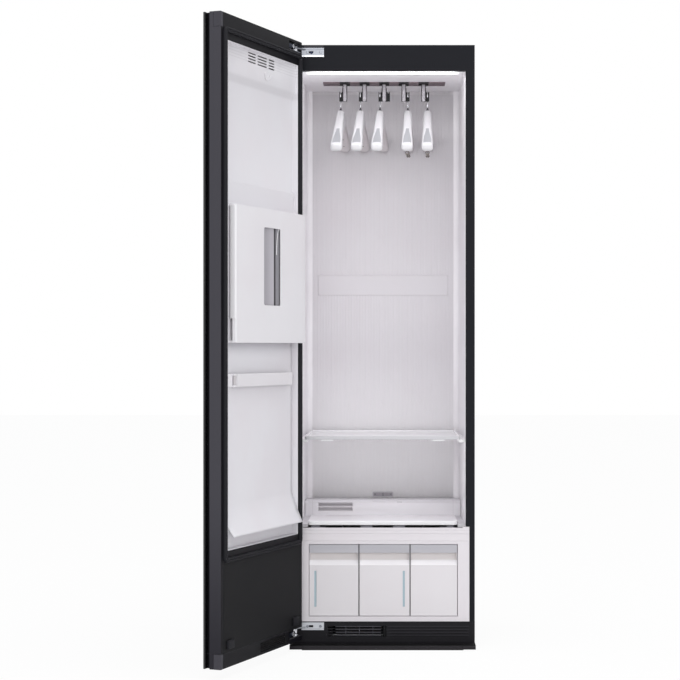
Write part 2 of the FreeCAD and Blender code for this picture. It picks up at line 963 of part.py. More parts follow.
ceiling_top = ceiling + s.ceiling_wall
ceiling_half = opening + s.liner_wall
cover_half = s.slot_cover_width / 2
cover_front = s.hook_line - s.slot_cover_depth / 2
cover_back = s.hook_line + s.slot_cover_depth / 2
bar_bottom = ceiling_top + s.hook_bar_lift
border = s.slot_cover_border
ceiling_panel = prism("XY", [rectangle((-ceiling_half, ceiling_half),
                                       (liner_front, back_face + s.liner_wall))], ceiling, ceiling_top)
bar_hole = rectangle((s.hook_offset - cover_half + border, s.hook_offset + cover_half - border),
                     (cover_front + border, cover_back - border))
guide_starts = (-cover_half + border, cover_half - border - s.hook_guide)
pocket(ceiling_panel, "XY", [bar_hole], ceiling, ceiling_top)
for start in guide_starts:
    guide = (s.hook_offset + start - border, s.hook_offset + start + s.hook_guide + border)
    pad(ceiling_panel, "XY", [rectangle(guide, (cover_front + s.guide_inset, cover_back - s.guide_inset))],
        ceiling, bar_bottom - s.apart)
node("ceiling_panel", ceiling_panel)

lamp = prism("XY", [rectangle((-s.lamp_width / 2, s.lamp_width / 2),
                              (s.lamp_front, s.lamp_front + s.lamp_depth))],
             ceiling - s.lamp_drop, ceiling)
round_edges(lamp, s.lamp_round, lambda at, along: abs(along.x) > 0.9 and at.z < ceiling.value - 1)
node("ceiling_light", lamp)

hook_places = [s.hook_offset + (number - (s.hook_count - 1) / 2) * s.hook_pitch
               for number in range(SIZES["hook_count"])]
cover = prism("XY", [rectangle((s.hook_offset - cover_half, s.hook_offset + cover_half),
                               (cover_front, cover_back))], ceiling - s.slot_cover_drop, ceiling)
first_slot = pocket(cover, "XY", [rectangle((hook_places[0] - s.hook_slot_width / 2,
                                             hook_places[0] + s.hook_slot_width / 2),
                                            (s.hook_line - s.hook_slot_depth / 2,
                                             s.hook_line + s.hook_slot_depth / 2))],
                    ceiling - s.slot_cover_drop - 1, ceiling + 1)
repeat(cover, first_slot, "X", (s.hook_count - 1) * s.hook_pitch, s.hook_count)
node("hook_slot_cover", cover)

# ---- hooks ------------------------------------------------------------------------------------

hook_bottom = ceiling - s.hook_drop
cradle_bottom = hook_bottom + s.cradle_lift
cradle_top = cradle_bottom + s.cradle_height
notch_bottom = cradle_top - s.notch_depth
cradle_face = s.hook_line - s.cradle_thick / 2
hook_face = cradle_face - s.hook_thick
bar_end = cover_half - border - s.shake_travel - s.hook_bar_gap
bar = prism("XY", [rectangle((s.hook_offset - bar_end, s.hook_offset + bar_end),
                             (s.hook_line - s.hook_bar_depth / 2, s.hook_line + s.hook_bar_depth / 2))],
            bar_bottom, bar_bottom + s.hook_bar_height)


def cradle(place, sides):
    """Block behind a hook blade, with a notch on each side that carries a hanger."""
    left, right = [s.hook_width / 2 + (s.cradle_reach if side in sides else 0) for side in (-1, 1)]
    body = prism("XZ", [rectangle((place - left, place + right), (cradle_bottom, cradle_top))],
                 cradle_face, cradle_face + s.cradle_thick)
    for side in sides:
        notch = place + side * s.notch_offset
        steep = notch - side * s.notch_steep
        pocket(body, "XZ", [[(notch, notch_bottom), (notch + side * s.notch_depth, cradle_top + 1),
                             (steep, cradle_top + 1), (steep, notch_bottom + s.notch_steep)]],
               cradle_face - 1, cradle_face + s.cradle_thick + 1)
    return body


blades = []
cradles = []
middle_hook = (SIZES["hook_count"] - 1) / 2
for number, place in enumerate(hook_places):
    blade = prism("XZ", [rectangle((place - s.hook_width / 2, place + s.hook_width / 2),
                                   (hook_bottom, bar_bottom))], hook_face, cradle_face)
    round_edges(blade, (s.hook_width - s.hook_tip_flat) / 2, lambda at, along: abs(along.y) > 0.9
                and at.z < hook_bottom.value + 1)
    blades.append(blade)
    cradles.append(cradle(place, [side for side in (-1, 1) if side * (number - middle_hook) >= 0]))
node("hooks", fuse(bar, *blades))
node("hook_cradles", group(*cradles))

# ---- hangers ----------------------------------------------------------------------------------

wire = s.wire_size / 2
loop_at_face = root(s.wire_loop * s.wire_loop - s.cradle_thick * s.cradle_thick / 4)
wire_at_face = wire * s.wire_loop / loop_at_face
pivot_z = notch_bottom + (wire_at_face + s.wire_gap) * math.sqrt(2) + s.wire_loop - loop_at_face
loop_z = pivot_z - s.wire_loop
hanger_top = ceiling - s.hanger_drop
hanger_end = hanger_top - s.hanger_height
hanger_crown = hanger_top - s.hanger_crown_drop
hanger_under = hanger_crown - s.hanger_thick


def half_arch(side, reach, end):
    """Side view of one arm, from under the crown round the tip to the neck."""
    shoulder = end + s.hanger_shoulder
    tip = s.hanger_tip
    return [(side * (s.hanger_crown - s.hanger_under_inset), hanger_under),
            (side * (reach - s.hanger_under_run), end + tip + s.hanger_under_rise),
            (side * (reach - tip), end), (side * reach, end + tip),
            (side * (reach - s.hanger_tip_lean), shoulder - s.hanger_tip_drop),
            (side * (reach - s.hanger_slope_run), shoulder + s.hanger_shoulder_rise),
            (side * s.hanger_crown, hanger_crown), (side * s.hanger_neck_length / 2, hanger_top)]


def half_plan(side, reach):
    """Top view of one arm, which widens from the neck to its blunt tip."""
    slim = s.hanger_neck_width / 2
    wide = s.hanger_end_width / 2
    blunt = wide - s.hanger_end_round
    start, taper = side * s.hanger_slim_run, side * (reach - s.hanger_end_taper)
    turn, end = side * (reach - s.hanger_blunt_run), side * (reach + 1)
    return [(-slim, start), (-wide, taper), (-wide, turn), (-blunt, end), (blunt, end), (wide, turn),
            (wide, taper), (slim, start)]


def wire_hook():
    """Wire that leaves the neck, leans out and turns over in a round loop."""
    body = doc.addObject("PartDesign::Body", "wire_hook")
    loop = s.wire_loop.value
    bend = s.wire_bend.value
    lean = math.asin(loop / s.wire_shank.value)
    start = loop_z.value - s.wire_shank.value - bend * math.tan(lean / 2)
    over = math.radians(s.wire_turn.value)
    foot = hanger_top.value - s.wire_root.value

    def spot(u, v, radius=0.0, turn=0.0):
        return FreeCAD.Vector(u + radius * math.cos(turn), v + radius * math.sin(turn), 0)

    bend_end = spot(bend, start, bend, math.pi - lean)
    loop_start = spot(0, loop_z.value, loop, -lean)
    path = sketch_on(body, "YZ", 0)
    path.addGeometry([
        Part.LineSegment(spot(0, foot), spot(0, start)),
        Part.Arc(spot(0, start), spot(bend, start, bend, math.pi - lean / 2), bend_end),
        Part.LineSegment(bend_end, loop_start),
        Part.Arc(loop_start, spot(0, loop_z.value, loop, (over - lean) / 2),
                 spot(0, loop_z.value, loop, over)),
    ], False)
    section = sketch_on(body, "XY", hanger_top - s.wire_root)
    outline(section, polygon(0, 0, wire, SIZES["wire_flats"]))
    pipe = body.newObject("PartDesign::AdditivePipe", "bent_wire")
    pipe.Profile = section
    pipe.Spine = path
    return body


def hanger(place, twist, clips):
    """Broad-shouldered moulded hanger under its wire, made about its own neck."""
    front, rear = s.hanger_front, s.hanger_rear
    side_view = prism("YZ", [half_arch(-1, front, hanger_end)
                              + half_arch(1, rear, hanger_end + s.hanger_rear_lift)[::-1]],
                      -s.hanger_end_width / 2, s.hanger_end_width / 2)
    round_edges(side_view, s.hanger_arch_round, lambda at, along: abs(along.x) > 0.9
                and near(at.z, hanger_under))
    plan_view = prism("XY", [half_plan(-1, front) + half_plan(1, rear)[::-1]],
                      hanger_end - 10, hanger_top + 10)
    parts = [common(side_view, plan_view), wire_hook()]
    if clips:
        clip_level = hanger_end + s.clip_bar_lift
        post = s.clip_post / 2
        clip_bar = polygon(0, clip_level, s.clip_bar_radius, SIZES["wire_flats"])
        parts.append(prism("XZ", [clip_bar], -front + s.clip_bar_inset, rear - s.clip_inset + post))
        parts.append(box((-s.clip_bar_radius, s.clip_bar_radius),
                         (rear - s.clip_inset - post, rear - s.clip_inset + post),
                         (clip_level, clip_level + s.hanger_rear_lift)))
        clip_top = clip_level + s.clip_rise
        for start in (-front + s.clip_inset, rear - s.clip_inset - s.clip_length):
            parts.append(box((-s.clip_width / 2, s.clip_width / 2), (start, start + s.clip_length),
                             (clip_top - s.clip_height, clip_top)))
    whole = fuse(*parts)
    whole.Placement = FreeCAD.Placement(FreeCAD.Vector(), FreeCAD.Rotation(FreeCAD.Vector(0, 0, 1), -1))
    bind(whole, "Placement.Base.x", place)
    bind(whole, "Placement.Base.y", s.hook_line)
    bind(whole, "Placement.Rotation.Angle", twist)
    return whole


for number, place in enumerate(hook_places):
    on_right = number > middle_hook
    neck = place + (1 if on_right else -1) * s.notch_offset
    twist = s.hanger_twist_right if on_right else s.hanger_twist_left
    node("hanger_%d" % (number + 1), hanger(neck, twist, on_right))

# ---- shelf, bench and floor -------------------------------------------------------------------

shelf_half = s.shelf_width / 2
shelf_back = back_face - s.rib_depth - s.shelf_back_gap
shelf_top = s.shelf_bottom + s.shelf_thick
corner = s.shelf_front_corner
back_corner = s.shelf_back_corner
shelf = prism("XY", [[(-shelf_half, s.shelf_front + corner), (-shelf_half + corner, s.shelf_front),
                      (shelf_half - corner, s.shelf_front), (shelf_half, s.shelf_front + corner),
                      (shelf_half, shelf_back - back_corner), (shelf_half - back_corner, shelf_back),
                      (-shelf_half + back_corner, shelf_back), (-shelf_half, shelf_back - back_corner)]],
              s.shelf_bottom, shelf_top)
pocket(shelf, "XY", [rectangle((-shelf_half + s.shelf_rim, shelf_half - s.shelf_rim),
                               (s.shelf_front + s.shelf_rim + s.shelf_rim_front,
                                shelf_back - s.shelf_rim - s.shelf_rim_back))],
       shelf_top - s.shelf_dish, shelf_top)
for side in (-1, 1):
    middle = side * s.shelf_lug_place
    pad(shelf, "XY", [rectangle((middle - s.shelf_lug_width / 2, middle + s.shelf_lug_width / 2),
                                (s.shelf_front + s.shelf_lug_front, s.shelf_front + s.shelf_lug_back))],
        s.shelf_bottom - s.shelf_lug_drop, s.shelf_bottom + 1)
node("shelf", shelf)

tub_low = s.liner_bottom - s.tub_floor_wall
tub = [(liner_front, tub_low), (back_face + s.liner_wall, tub_low),
       (back_face + s.liner_wall, s.liner_bottom), (liner_front, s.liner_bottom)]
bench = prism("YZ", [tub], -ceiling_half, ceiling_half)
bench_back = back_face - s.rib_depth - s.bench_back_gap
bench_half = liner_back - s.apart
bench_shape = [(s.bench_face, s.liner_bottom - 1), (bench_back, s.liner_bottom - 1),
               (bench_back, s.bench_back_top), (s.bench_face + s.bench_slope_run, s.bench_top),
               (s.bench_face, s.bench_top - s.bench_slope_drop)]
pad(bench, "YZ", [bench_shape], -bench_half, bench_half)
round_edges(bench, s.bench_corner, lambda at, along: abs(along.z) > 0.9 and near(at.y, bench_back)
            and near(abs(at.x), bench_half))
taper_at_bench = s.liner_taper * (s.bench_face - liner_front) / (back_face - liner_front)
for side in (-1, 1):
    near_side = side * (s.floor_plate_half + s.apart)
    far_side = side * (opening - s.apart)
    pad(bench, "XY", [[(near_side, liner_front), (far_side, liner_front),
                       (far_side - side * taper_at_bench, s.bench_face + 1), (near_side, s.bench_face + 1)]],
        s.liner_bottom - 1, s.bench_floor - s.sill_drop)
vent_row = (s.vent_height - s.vent_bar) / s.vent_rows
first_vent = pocket(bench, "XZ", [rectangle((s.vent_right - s.vent_width, s.vent_right),
                                            (s.vent_bottom, s.vent_bottom + vent_row))],
                    s.bench_face - 1, s.bench_face + s.vent_depth)
repeat(bench, first_vent, "Z", vent_row + s.vent_bar, s.vent_rows)
outlet_front = s.bench_face + s.outlet_place
outlet_slot = pocket(bench, "XY", [rectangle((-s.outlet_width / 2, s.outlet_width / 2),
                                             (outlet_front, outlet_front + s.outlet_slot))],
                     s.bench_top - s.outlet_depth, s.bench_top + 1)
repeat(bench, outlet_slot, "Y", s.outlet_span, s.outlet_count)
node("steam_bench", bench)

plate = prism("YZ", [[(s.floor_plate_front, s.bench_floor + s.floor_plate_lip),
                      (s.floor_plate_front + s.floor_plate_run, s.bench_floor + s.floor_plate_crest),
                      (s.bench_face - s.apart, s.bench_floor),
                      (s.bench_face - s.apart, s.bench_floor - s.floor_plate_wall),
                      (s.floor_plate_front, s.bench_floor - s.floor_plate_wall)]],
              -s.floor_plate_half, s.floor_plate_half)
round_edges(plate, s.floor_plate_round, lambda at, along: abs(along.z) > 0.9
            and at.y < s.floor_plate_front.value + 1)
node("floor_plate", plate)

# Dark intake under the floor plate: a sill with posts that carry the plate.
intake_back = s.floor_plate_front + s.intake_depth
sill_half = s.floor_plate_half - s.intake_inset
posts = [box((-sill_half, sill_half), (s.floor_plate_front + s.intake_sill_back, intake_back),
             (s.liner_bottom, s.intake_bottom))]
for letter in "abcdef":
    post = [getattr(s, "post_%s_%s" % (letter, side)) for side in ("left", "right")]
    posts.append(box(post, (s.floor_plate_front + s.intake_post_back, intake_back),
                     (s.intake_bottom, s.bench_floor - s.floor_plate_wall)))
node("intake_grille", fuse(*posts))

# ---- white lower frame, bay and tanks ---------------------------------------------------------

frame_in_left = s.bin_left - s.bin_border
frame_in_right = s.bin_right + s.bin_border
frame_in_low = s.bin_bottom - s.bin_border
frame_in_high = s.bin_top + s.bin_border
lower = prism("XZ", [rectangle((-lower_opening, lower_opening), (kick_top, lower_top))], 0, s.frame_depth)
pocket(lower, "XZ", [rectangle((frame_in_left, frame_in_right), (frame_in_low, frame_in_high))],
       -1, s.frame_depth + 1)
pocket(lower, "XZ", [rectangle((-s.lower_lip_half, s.lower_lip_half),
                               (lower_top - s.lower_lip_drop, lower_top + 1))],
       -1, s.frame_depth + 1)
for drop in (s.lower_line_high, s.lower_line_middle, s.lower_line_low):
    pocket(lower, "XZ", [rectangle((-lower_opening - 1, lower_opening + 1),
                                   (lower_top - drop, lower_top - drop + s.lower_line))], -1, s.lower_line)
node("lower_front_frame", lower)

bay_depth = s.frame_depth + s.bin_depth
bay = prism("XZ", [rectangle((frame_in_left - s.bay_wall, frame_in_right + s.bay_wall),
                             (frame_in_low - s.bay_wall, frame_in_high + s.bay_wall))],
            s.frame_depth, bay_depth)
pocket(bay, "XZ", [rectangle((frame_in_left, frame_in_right), (frame_in_low, frame_in_high))],
       s.frame_depth - 1, bay_depth - s.bay_wall)
foot_front = s.frame_depth + s.bay_foot_front
for start in (frame_in_left + s.bay_foot_inset, frame_in_right - s.bay_foot_inset - s.bay_foot_width):
    pad(bay, "XY", [rectangle((start, start + s.bay_foot_width),
                              (foot_front, foot_front + s.bay_foot_width))],
        machine_floor, frame_in_low - s.bay_wall + 1)
node("tank_bay", bay)


def tank(left, right, gauge_left):
    """Front with a finger recess under the grey bar, and the vessel behind it."""
    front_back = s.bin_front
    front = prism("XZ", [rectangle((left, right), (s.bin_bottom, s.bin_top))], s.bin_face, front_back)
    grip_top = s.bin_top - s.bin_bar_height
    lip_low = grip_top - s.grip_height - s.grip_lip
    pocket(front, "YZ", [[(0, grip_top), (s.grip_depth, grip_top - s.grip_slope),
                          (s.grip_depth, grip_top - s.grip_height), (s.grip_lip_depth, lip_low),
                          (0, lip_low)]],
           left + s.grip_side, right - s.grip_side)
    vessel_low = frame_in_low + s.apart
    gap = s.vessel_side_gap
    vessel = prism("XZ", [rectangle((left + gap, right - gap), (vessel_low, s.bin_top - gap))],
                   front_back, s.frame_depth + s.bin_depth - s.bay_wall - s.vessel_back_gap)
    if gauge_left is not None:
        gauge = rectangle((gauge_left, gauge_left + s.gauge_width), (s.gauge_bottom, s.gauge_top))
        pocket(front, "XZ", [gauge], 0, front_back + 1)
        pad(vessel, "XZ", [gauge], s.bin_face + s.gauge_face, front_back + 1)
    return front, vessel


first_right = s.bin_first_gap - s.bin_gap / 2
second_left = s.bin_first_gap + s.bin_gap / 2
second_right = s.bin_second_gap - s.bin_gap / 2
third_left = s.bin_second_gap + s.bin_gap / 2
tank_spans = (("supply_tank", s.bin_left, first_right, s.bin_left + s.gauge_inset),
              ("drain_tank", second_left, second_right, second_right - s.gauge_inset - s.gauge_width),
              ("filter_case", third_left, s.bin_right, None))
for label, left, right, gauge in tank_spans:
    front, vessel = tank(left, right, gauge)
    node(label + "_front", front)
    node(label, vessel)

# ---- door -------------------------------------------------------------------------------------
# The door's pieces are made where the closed door would have its hinge-side inner corner at the
# origin: local X runs to the free edge, local Y points into the cabinet.  Each gets the placement
# of the open door.

swing = s.door_open_angle / 2
closed_corner = (-half + s.door_side_gap, -s.door_face_gap)
pivot_a = (closed_corner[0] + s.hinge_pole_side, -s.hinge_pole_front)
pivot_b = (pivot_a[0], pivot_a[1] - s.hinge_link)
to_b = (pivot_b[0] - pivot_a[0], pivot_b[1] - pivot_a[1])
to_corner = (closed_corner[0] - pivot_b[0], closed_corner[1] - pivot_b[1])
open_b = (pivot_a[0] + cosine(swing) * to_b[0] + sine(swing) * to_b[1],
          pivot_a[1] - sine(swing) * to_b[0] + cosine(swing) * to_b[1])
full = s.door_open_angle
open_corner = (open_b[0] + cosine(full) * to_corner[0] + sine(full) * to_corner[1],
               open_b[1] - sine(full) * to_corner[0] + cosine(full) * to_corner[1])


def on_door(label, item):
    item.Placement = FreeCAD.Placement(FreeCAD.Vector(), FreeCAD.Rotation(FreeCAD.Vector(0, 0, -1), 1))
    bind(item, "Placement.Base.x", open_corner[0])
    bind(item, "Placement.Base.y", open_corner[1])
    bind(item, "Placement.Rotation.Angle", full)
    return node(label, item)


wide = s.door_width
door_low = s.door_bottom
door_high = s.cabinet_height
body_back = -s.door_body
pockets = []
for floor in (upper_pocket, lower_pocket):
    rise = (floor, floor + s.hinge_pocket)
    pockets.append(box((-1, s.hinge_pocket_reach), (body_back, 1), rise))
    pockets.append(box((-1, s.hinge_pocket_depth), (-s.hinge_pocket_shallow, 1), rise))
shell = prism("XY", [[(0, body_back), (wide - s.grip_channel_depth, body_back),
                      (wide - s.grip_channel_depth, body_back + s.grip_channel),
                      (wide, body_back + s.grip_channel), (wide, 0), (0, 0)]], door_low, door_high)
pocket(shell, "XZ", [rectangle((s.liner_left, s.liner_right), (s.liner_low, liner_high))],
       -s.door_liner_back, 1)
pocket(shell, "XZ", [rectangle((s.gasket_left, s.gasket_right), (s.lower_panel_low, s.lower_panel_high))],
       -s.lower_panel_wall, 1)
pocket(shell, "XZ", [rectangle((s.door_vent_left, s.door_vent_right), (s.door_vent_low, s.door_vent_high))],
       -s.door_vent_depth, 1)
for floor in (door_low - 1, door_high - s.end_cap_height):
    pockets.append(box((wide - s.end_cap_reach, wide + 1), (-s.end_cap_depth, 1),
                       (floor, floor + s.end_cap_height + 1)))
on_door("door_frame", cut(shell, *pockets))

glass = prism("XY", [rectangle((0, wide), (body_back - s.door_glass, body_back))], door_low, door_high)
round_edges(glass, s.door_glass_round, lambda at, along: near(at.y, body_back - s.door_glass, 0.01))
on_door("door_glass", glass)

seam = s.end_cap_seam
cap_parts = [box((wide - s.end_cap_reach + seam, wide), (-s.end_cap_depth + seam, 0), span)
             for span in ((door_low, door_low + s.end_cap_height - seam),
                          (door_high - s.end_cap_height + seam, door_high))]
on_door("door_end_caps", group(*cap_parts))

lining = prism("XZ", [rectangle((s.liner_left, s.liner_right), (s.liner_low, liner_high))],
               -s.door_liner_back, 0)
inside = (s.liner_left + s.liner_wall, s.liner_right - s.liner_wall)
for low, high, depth in ((s.liner_low + s.liner_wall, s.door_band_low, s.door_recess),
                         (s.door_band_low, s.door_band_high, s.door_band_recess),
                         (s.door_band_high, header_low, s.door_recess),
                         (header_low, liner_high - s.liner_wall, s.door_header_recess)):
    pocket(lining, "XZ", [rectangle(inside, (low, high))], -depth, 1)
header_edge = -s.door_header_recess
pad(lining, "YZ", [[(-s.door_recess, header_low - s.door_header_slope), (header_edge, header_low),
                    (header_edge, header_low + 1), (-s.door_recess - 1, header_low + 1),
                    (-s.door_recess - 1, header_low - s.door_header_slope)]], *inside)
slot_low = header_low + s.header_slot_lift
for low, high in ((s.header_near_left, s.header_near_right), (s.header_middle_left, s.header_middle_right),
                  (s.header_far_left, s.header_far_right)):
    slot = pocket(lining, "XZ", [rectangle((low, high), (slot_low, slot_low + s.header_slot))],
                  -s.door_header_recess - s.header_slot_depth, -s.door_header_recess + 1)
    repeat(lining, slot, "Z", (s.header_slot_count - 1) * s.header_slot_pitch, s.header_slot_count)
on_door("door_liner", lining)

gasket = prism("XZ", [rectangle((s.gasket_left, s.gasket_right), (s.gasket_low, gasket_high)),
                      rectangle((s.gasket_left + s.gasket_width, s.gasket_right - s.gasket_width),
                                (s.gasket_low + s.gasket_width, gasket_high - s.gasket_width))],
               0, s.gasket_height)
groove = s.gasket_width / 2 - s.gasket_groove / 2
groove_in = s.gasket_width / 2 + s.gasket_groove / 2
pocket(gasket, "XZ", [rectangle((s.gasket_left + groove, s.gasket_right - groove),
                                (s.gasket_low + groove, gasket_high - groove)),
                      rectangle((s.gasket_left + groove_in, s.gasket_right - groove_in),
                                (s.gasket_low + groove_in, gasket_high - groove_in))],
       s.gasket_height - s.gasket_groove, s.gasket_height + 1)
on_door("door_gasket", gasket)

lower_panel = prism("XZ", [rectangle((s.gasket_left, s.gasket_right),
                                     (s.lower_panel_low, s.lower_panel_high))], -s.lower_panel_wall, 0)
on_door("door_lower_panel", lower_panel)

vent = prism("XZ", [rectangle((s.door_vent_left, s.door_vent_right), (s.door_vent_low, s.door_vent_high))],
             -s.door_vent_depth, 0)
vent_pitch = (s.door_vent_high - s.door_vent_low) / s.door_vent_slats
slat_half = s.door_vent_slat / 2
vent_span = (s.door_vent_left + s.door_vent_border, s.door_vent_right - s.door_vent_border)
vent_rise = (s.door_vent_low + slat_half, s.door_vent_low + vent_pitch - slat_half)
vent_slot = pocket(vent, "XZ", [rectangle(vent_span, vent_rise)], -s.door_vent_slot_depth, 1)
repeat(vent, vent_slot, "Z", (s.door_vent_slats - 1) * vent_pitch, s.door_vent_slats)
on_door("door_vent_grille", vent)

bumpers = []
for start in (s.bumper_near, s.bumper_far):
    bumper = prism("XZ", [rectangle((start, start + s.bumper_width),
                                    (s.bumper_low, s.bumper_low + s.bumper_height))], 0, s.gasket_height)
    round_edges(bumper, s.bumper_round, lambda at, along: at.y > s.gasket_height.value - 0.5)
    bumpers.append(bumper)
on_door("door_bumpers", group(*bumpers))

# ---- press ------------------------------------------------------------------------------------

recess = -s.door_recess
pivot_x = s.press_right - s.press_pivot_inset
pivot_y = s.press_pivot_face
board = prism("XZ", [rectangle((inside[0] + 1, inside[1] - 1), (s.press_low, s.press_high))],
              recess, -s.press_board_drop)
barrel = s.press_barrel
lugs = [fuse(box((pivot_x - barrel, pivot_x + barrel), (-s.press_lug_back, pivot_y), (low, low + height)),
             rod("Z", (pivot_x, pivot_y, low), barrel, height))
        for low, height in ((s.press_low, s.press_lug_low),
                            (s.press_high - s.press_lug_high, s.press_lug_high))]
barrel_low = s.press_low + s.press_lug_low - 1
press_base = fuse(
    board, *lugs,
    rod("Z", (pivot_x, pivot_y, barrel_low), barrel, s.press_barrel_top - barrel_low),
    rod("Z", (pivot_x, pivot_y, s.press_barrel_top - 1), s.press_pin, s.press_pin_low),
    rod("Z", (pivot_x, pivot_y, s.press_high - s.press_pin_drop), s.press_pin, s.press_pin_high))

case_top = s.press_high
case = prism("XZ", [rectangle((s.press_left, s.press_right), (s.press_low, case_top))],
             s.press_back, s.press_face)
round_edges(case, s.press_edge_front, lambda at, along: abs(along.z) > 0.9
            and at.x > s.press_right.value - 1 and near(at.y, s.press_face))
round_edges(case, s.press_edge_back, lambda at, along: abs(along.z) > 0.9
            and at.x > s.press_right.value - 1 and near(at.y, s.press_back))
pocket(case, "XZ", [rectangle((s.press_left + s.press_wall, pivot_x - s.press_hollow_inset),
                              (s.press_low + s.press_wall, case_top - s.press_wall))],
       0, s.press_face - s.press_wall)
pocket(case, "XZ", [rectangle((s.press_window_left, s.press_window_right),
                              (s.press_window_low, s.press_window_high))], 0, s.press_face + 1)
round_edges(case, s.press_window_corner, lambda at, along: abs(along.y) > 0.9
            and s.press_window_left.value - 1 < at.x < s.press_window_right.value + 1
            and s.press_window_low.value - 1 < at.z < s.press_window_high.value + 1)
notch_face = pivot_y + barrel + s.press_lug_gap
notch_span = (pivot_x - s.press_notch_reach, s.press_right + 1)
free_notch = box(notch_span, (-1, notch_face), (s.press_low - 1, s.press_barrel_top + s.apart))
top_notch = box(notch_span, (-1, notch_face), (s.press_high - s.press_lug_high - s.apart, s.press_high + 1))
low_bore = rod("Z", (pivot_x, pivot_y, s.press_barrel_top - s.press_bore_past), s.press_pin + s.running,
               s.press_bore_low)
top_bore = rod("Z", (pivot_x, pivot_y, s.press_high - s.press_pin_drop - s.press_bore_past),
               s.press_pin + s.running, s.press_bore_high)
on_door("press_case", cut(case, free_notch, top_notch, low_bore, top_bore))

film_back = recess + s.film_lift
film_path = [(film_back, s.press_low - 1), (film_back, s.sheet_flare_from),
             (film_back + s.sheet_flare, s.sheet_low),
             (film_back + s.sheet_flare + s.film, s.sheet_low + s.film_edge),
             (film_back + s.film, s.sheet_flare_from + s.film_bend), (film_back + s.film, s.press_low - 1)]
film = prism("YZ", [film_path], s.sheet_left, s.sheet_right)
on_door("press_sheet", film)

bar_back = s.bar_face - s.bar_thick
bar_pivot = (s.bar_right + s.bar_pivot_reach, bar_back - s.bar_pivot_back)
clevis = rectangle((s.bar_right + s.clevis_start, s.bar_right + s.clevis_end),
                   (bar_back - s.clevis_back, bar_back + s.clevis_front))
pin_low = s.bar_low + s.clevis_pin_inset
bracket = fuse(box((s.bar_right + s.bracket_start, s.liner_right - s.liner_wall),
                   (bar_back - s.clevis_back, bar_back - s.bracket_front), (s.bar_low, s.bar_high)),
               prism("XY", [clevis], s.bar_low, s.bar_low + s.clevis_wall),
               prism("XY", [clevis], s.bar_high - s.clevis_wall, s.bar_high),
               rod("Z", bar_pivot + (pin_low,), s.bar_pin, s.bar_high - s.bar_low - 2 * s.clevis_pin_inset))
on_door("press_board", group(press_base, bracket))
knuckle_low = s.bar_low + s.clevis_wall + s.apart
knuckle_high = s.bar_high - s.clevis_wall - s.apart
arm = fuse(prism("XZ", [rectangle((s.bar_left, s.bar_right), (s.bar_low, s.bar_high))], bar_back, s.bar_face),
           box((s.bar_right - 1, s.bar_right + s.bar_pivot_reach),
               (bar_back - s.bar_tongue_back, bar_back + s.bar_tongue_front), (knuckle_low, knuckle_high)),
           rod("Z", bar_pivot + (knuckle_low,), s.bar_knuckle, knuckle_high - knuckle_low))
pin_bore = rod("Z", bar_pivot + (s.bar_low,), s.bar_pin + s.running, s.bar_high - s.bar_low)
on_door("press_bar", cut(arm, pin_bore))

hook_y = -s.door_header_recess
peg = s.trouser_hook_place
peg_low = header_low + s.trouser_hook_lift
peg_wall = s.trouser_hook_thick
peg_plate = s.trouser_hook_plate / 2
peg_tip = peg_plate + s.trouser_hook_tip_side
peg_end = hook_y + s.trouser_hook_reach
trouser_hook = fuse(box((peg - peg_plate, peg + peg_plate), (hook_y, hook_y + peg_wall),
                        (peg_low, peg_low + s.trouser_hook_height)),
                    box((peg - peg_wall, peg + peg_wall), (hook_y + peg_wall - 1, peg_end),
                        (peg_low + peg_wall, peg_low + peg_wall + s.trouser_hook_neck)),
                    box((peg - peg_tip, peg + peg_tip), (peg_end - s.trouser_hook_tip_wall, peg_end + 1),
                        (peg_low + peg_wall, peg_low + peg_wall + s.trouser_hook_tip)))
on_door("trouser_hook", trouser_hook)


# ---- hinges -----------------------------------------------------------------------------------

def bracket_level(floor):
    return floor + s.hinge_bracket_wall + s.apart


def arm_level(floor):
    return bracket_level(floor) + s.hinge_link_wall + s.apart


def hinge_plate(floor, low, high):
    """Screwed plate on the front frame; its arm carries the pin of the link."""
    left = s.hinge_plate_left
    right = left + s.hinge_plate_width
    level = arm_level(floor)
    plate = prism("XZ", [rectangle((left, right), (low, high))], -s.hinge_plate_wall, 0)
    middle = (low + high) / 2
    slot = box((left + s.hinge_slot_left, left + s.hinge_slot_left + s.hinge_slot_width),
               (-s.hinge_plate_wall - 1, 1),
               (middle - s.hinge_slot_height / 2, middle + s.hinge_slot_height / 2))
    eye = (pivot_a[0], pivot_a[1], level)
    cheek, tuck = s.hinge_arm_cheek, s.hinge_eye - s.hinge_arm_tuck
    arm = prism("XY", [[(left, -s.hinge_plate_wall + 1), (left + s.hinge_arm_root, -s.hinge_plate_wall + 1),
                        (left + s.hinge_arm_root, -s.hinge_plate_wall - 1),
                        (pivot_a[0] + s.hinge_arm_nose, pivot_a[1] - s.hinge_eye),
                        (pivot_a[0] - cheek, pivot_a[1] - tuck),
                        (pivot_a[0] - tuck, pivot_a[1] + cheek)]], level, level + s.hinge_arm_wall)
    pin = rod("Z", (pivot_a[0], pivot_a[1], bracket_level(floor)), s.hinge_pin,
              s.hinge_link_wall + s.apart + 1)
    return fuse(cut(plate, slot), arm, rod("Z", eye, s.hinge_eye, s.hinge_arm_wall), pin)


upper_plate = upper_pocket - s.upper_plate_drop
lower_plate = lower_pocket + s.lower_plate_lift
levels = ((upper_pocket, upper_plate, upper_plate + s.upper_plate_height),
          (lower_pocket, lower_plate, lower_plate + s.lower_plate_height))
node("hinge_plates", group(*[hinge_plate(*level) for level in levels]))

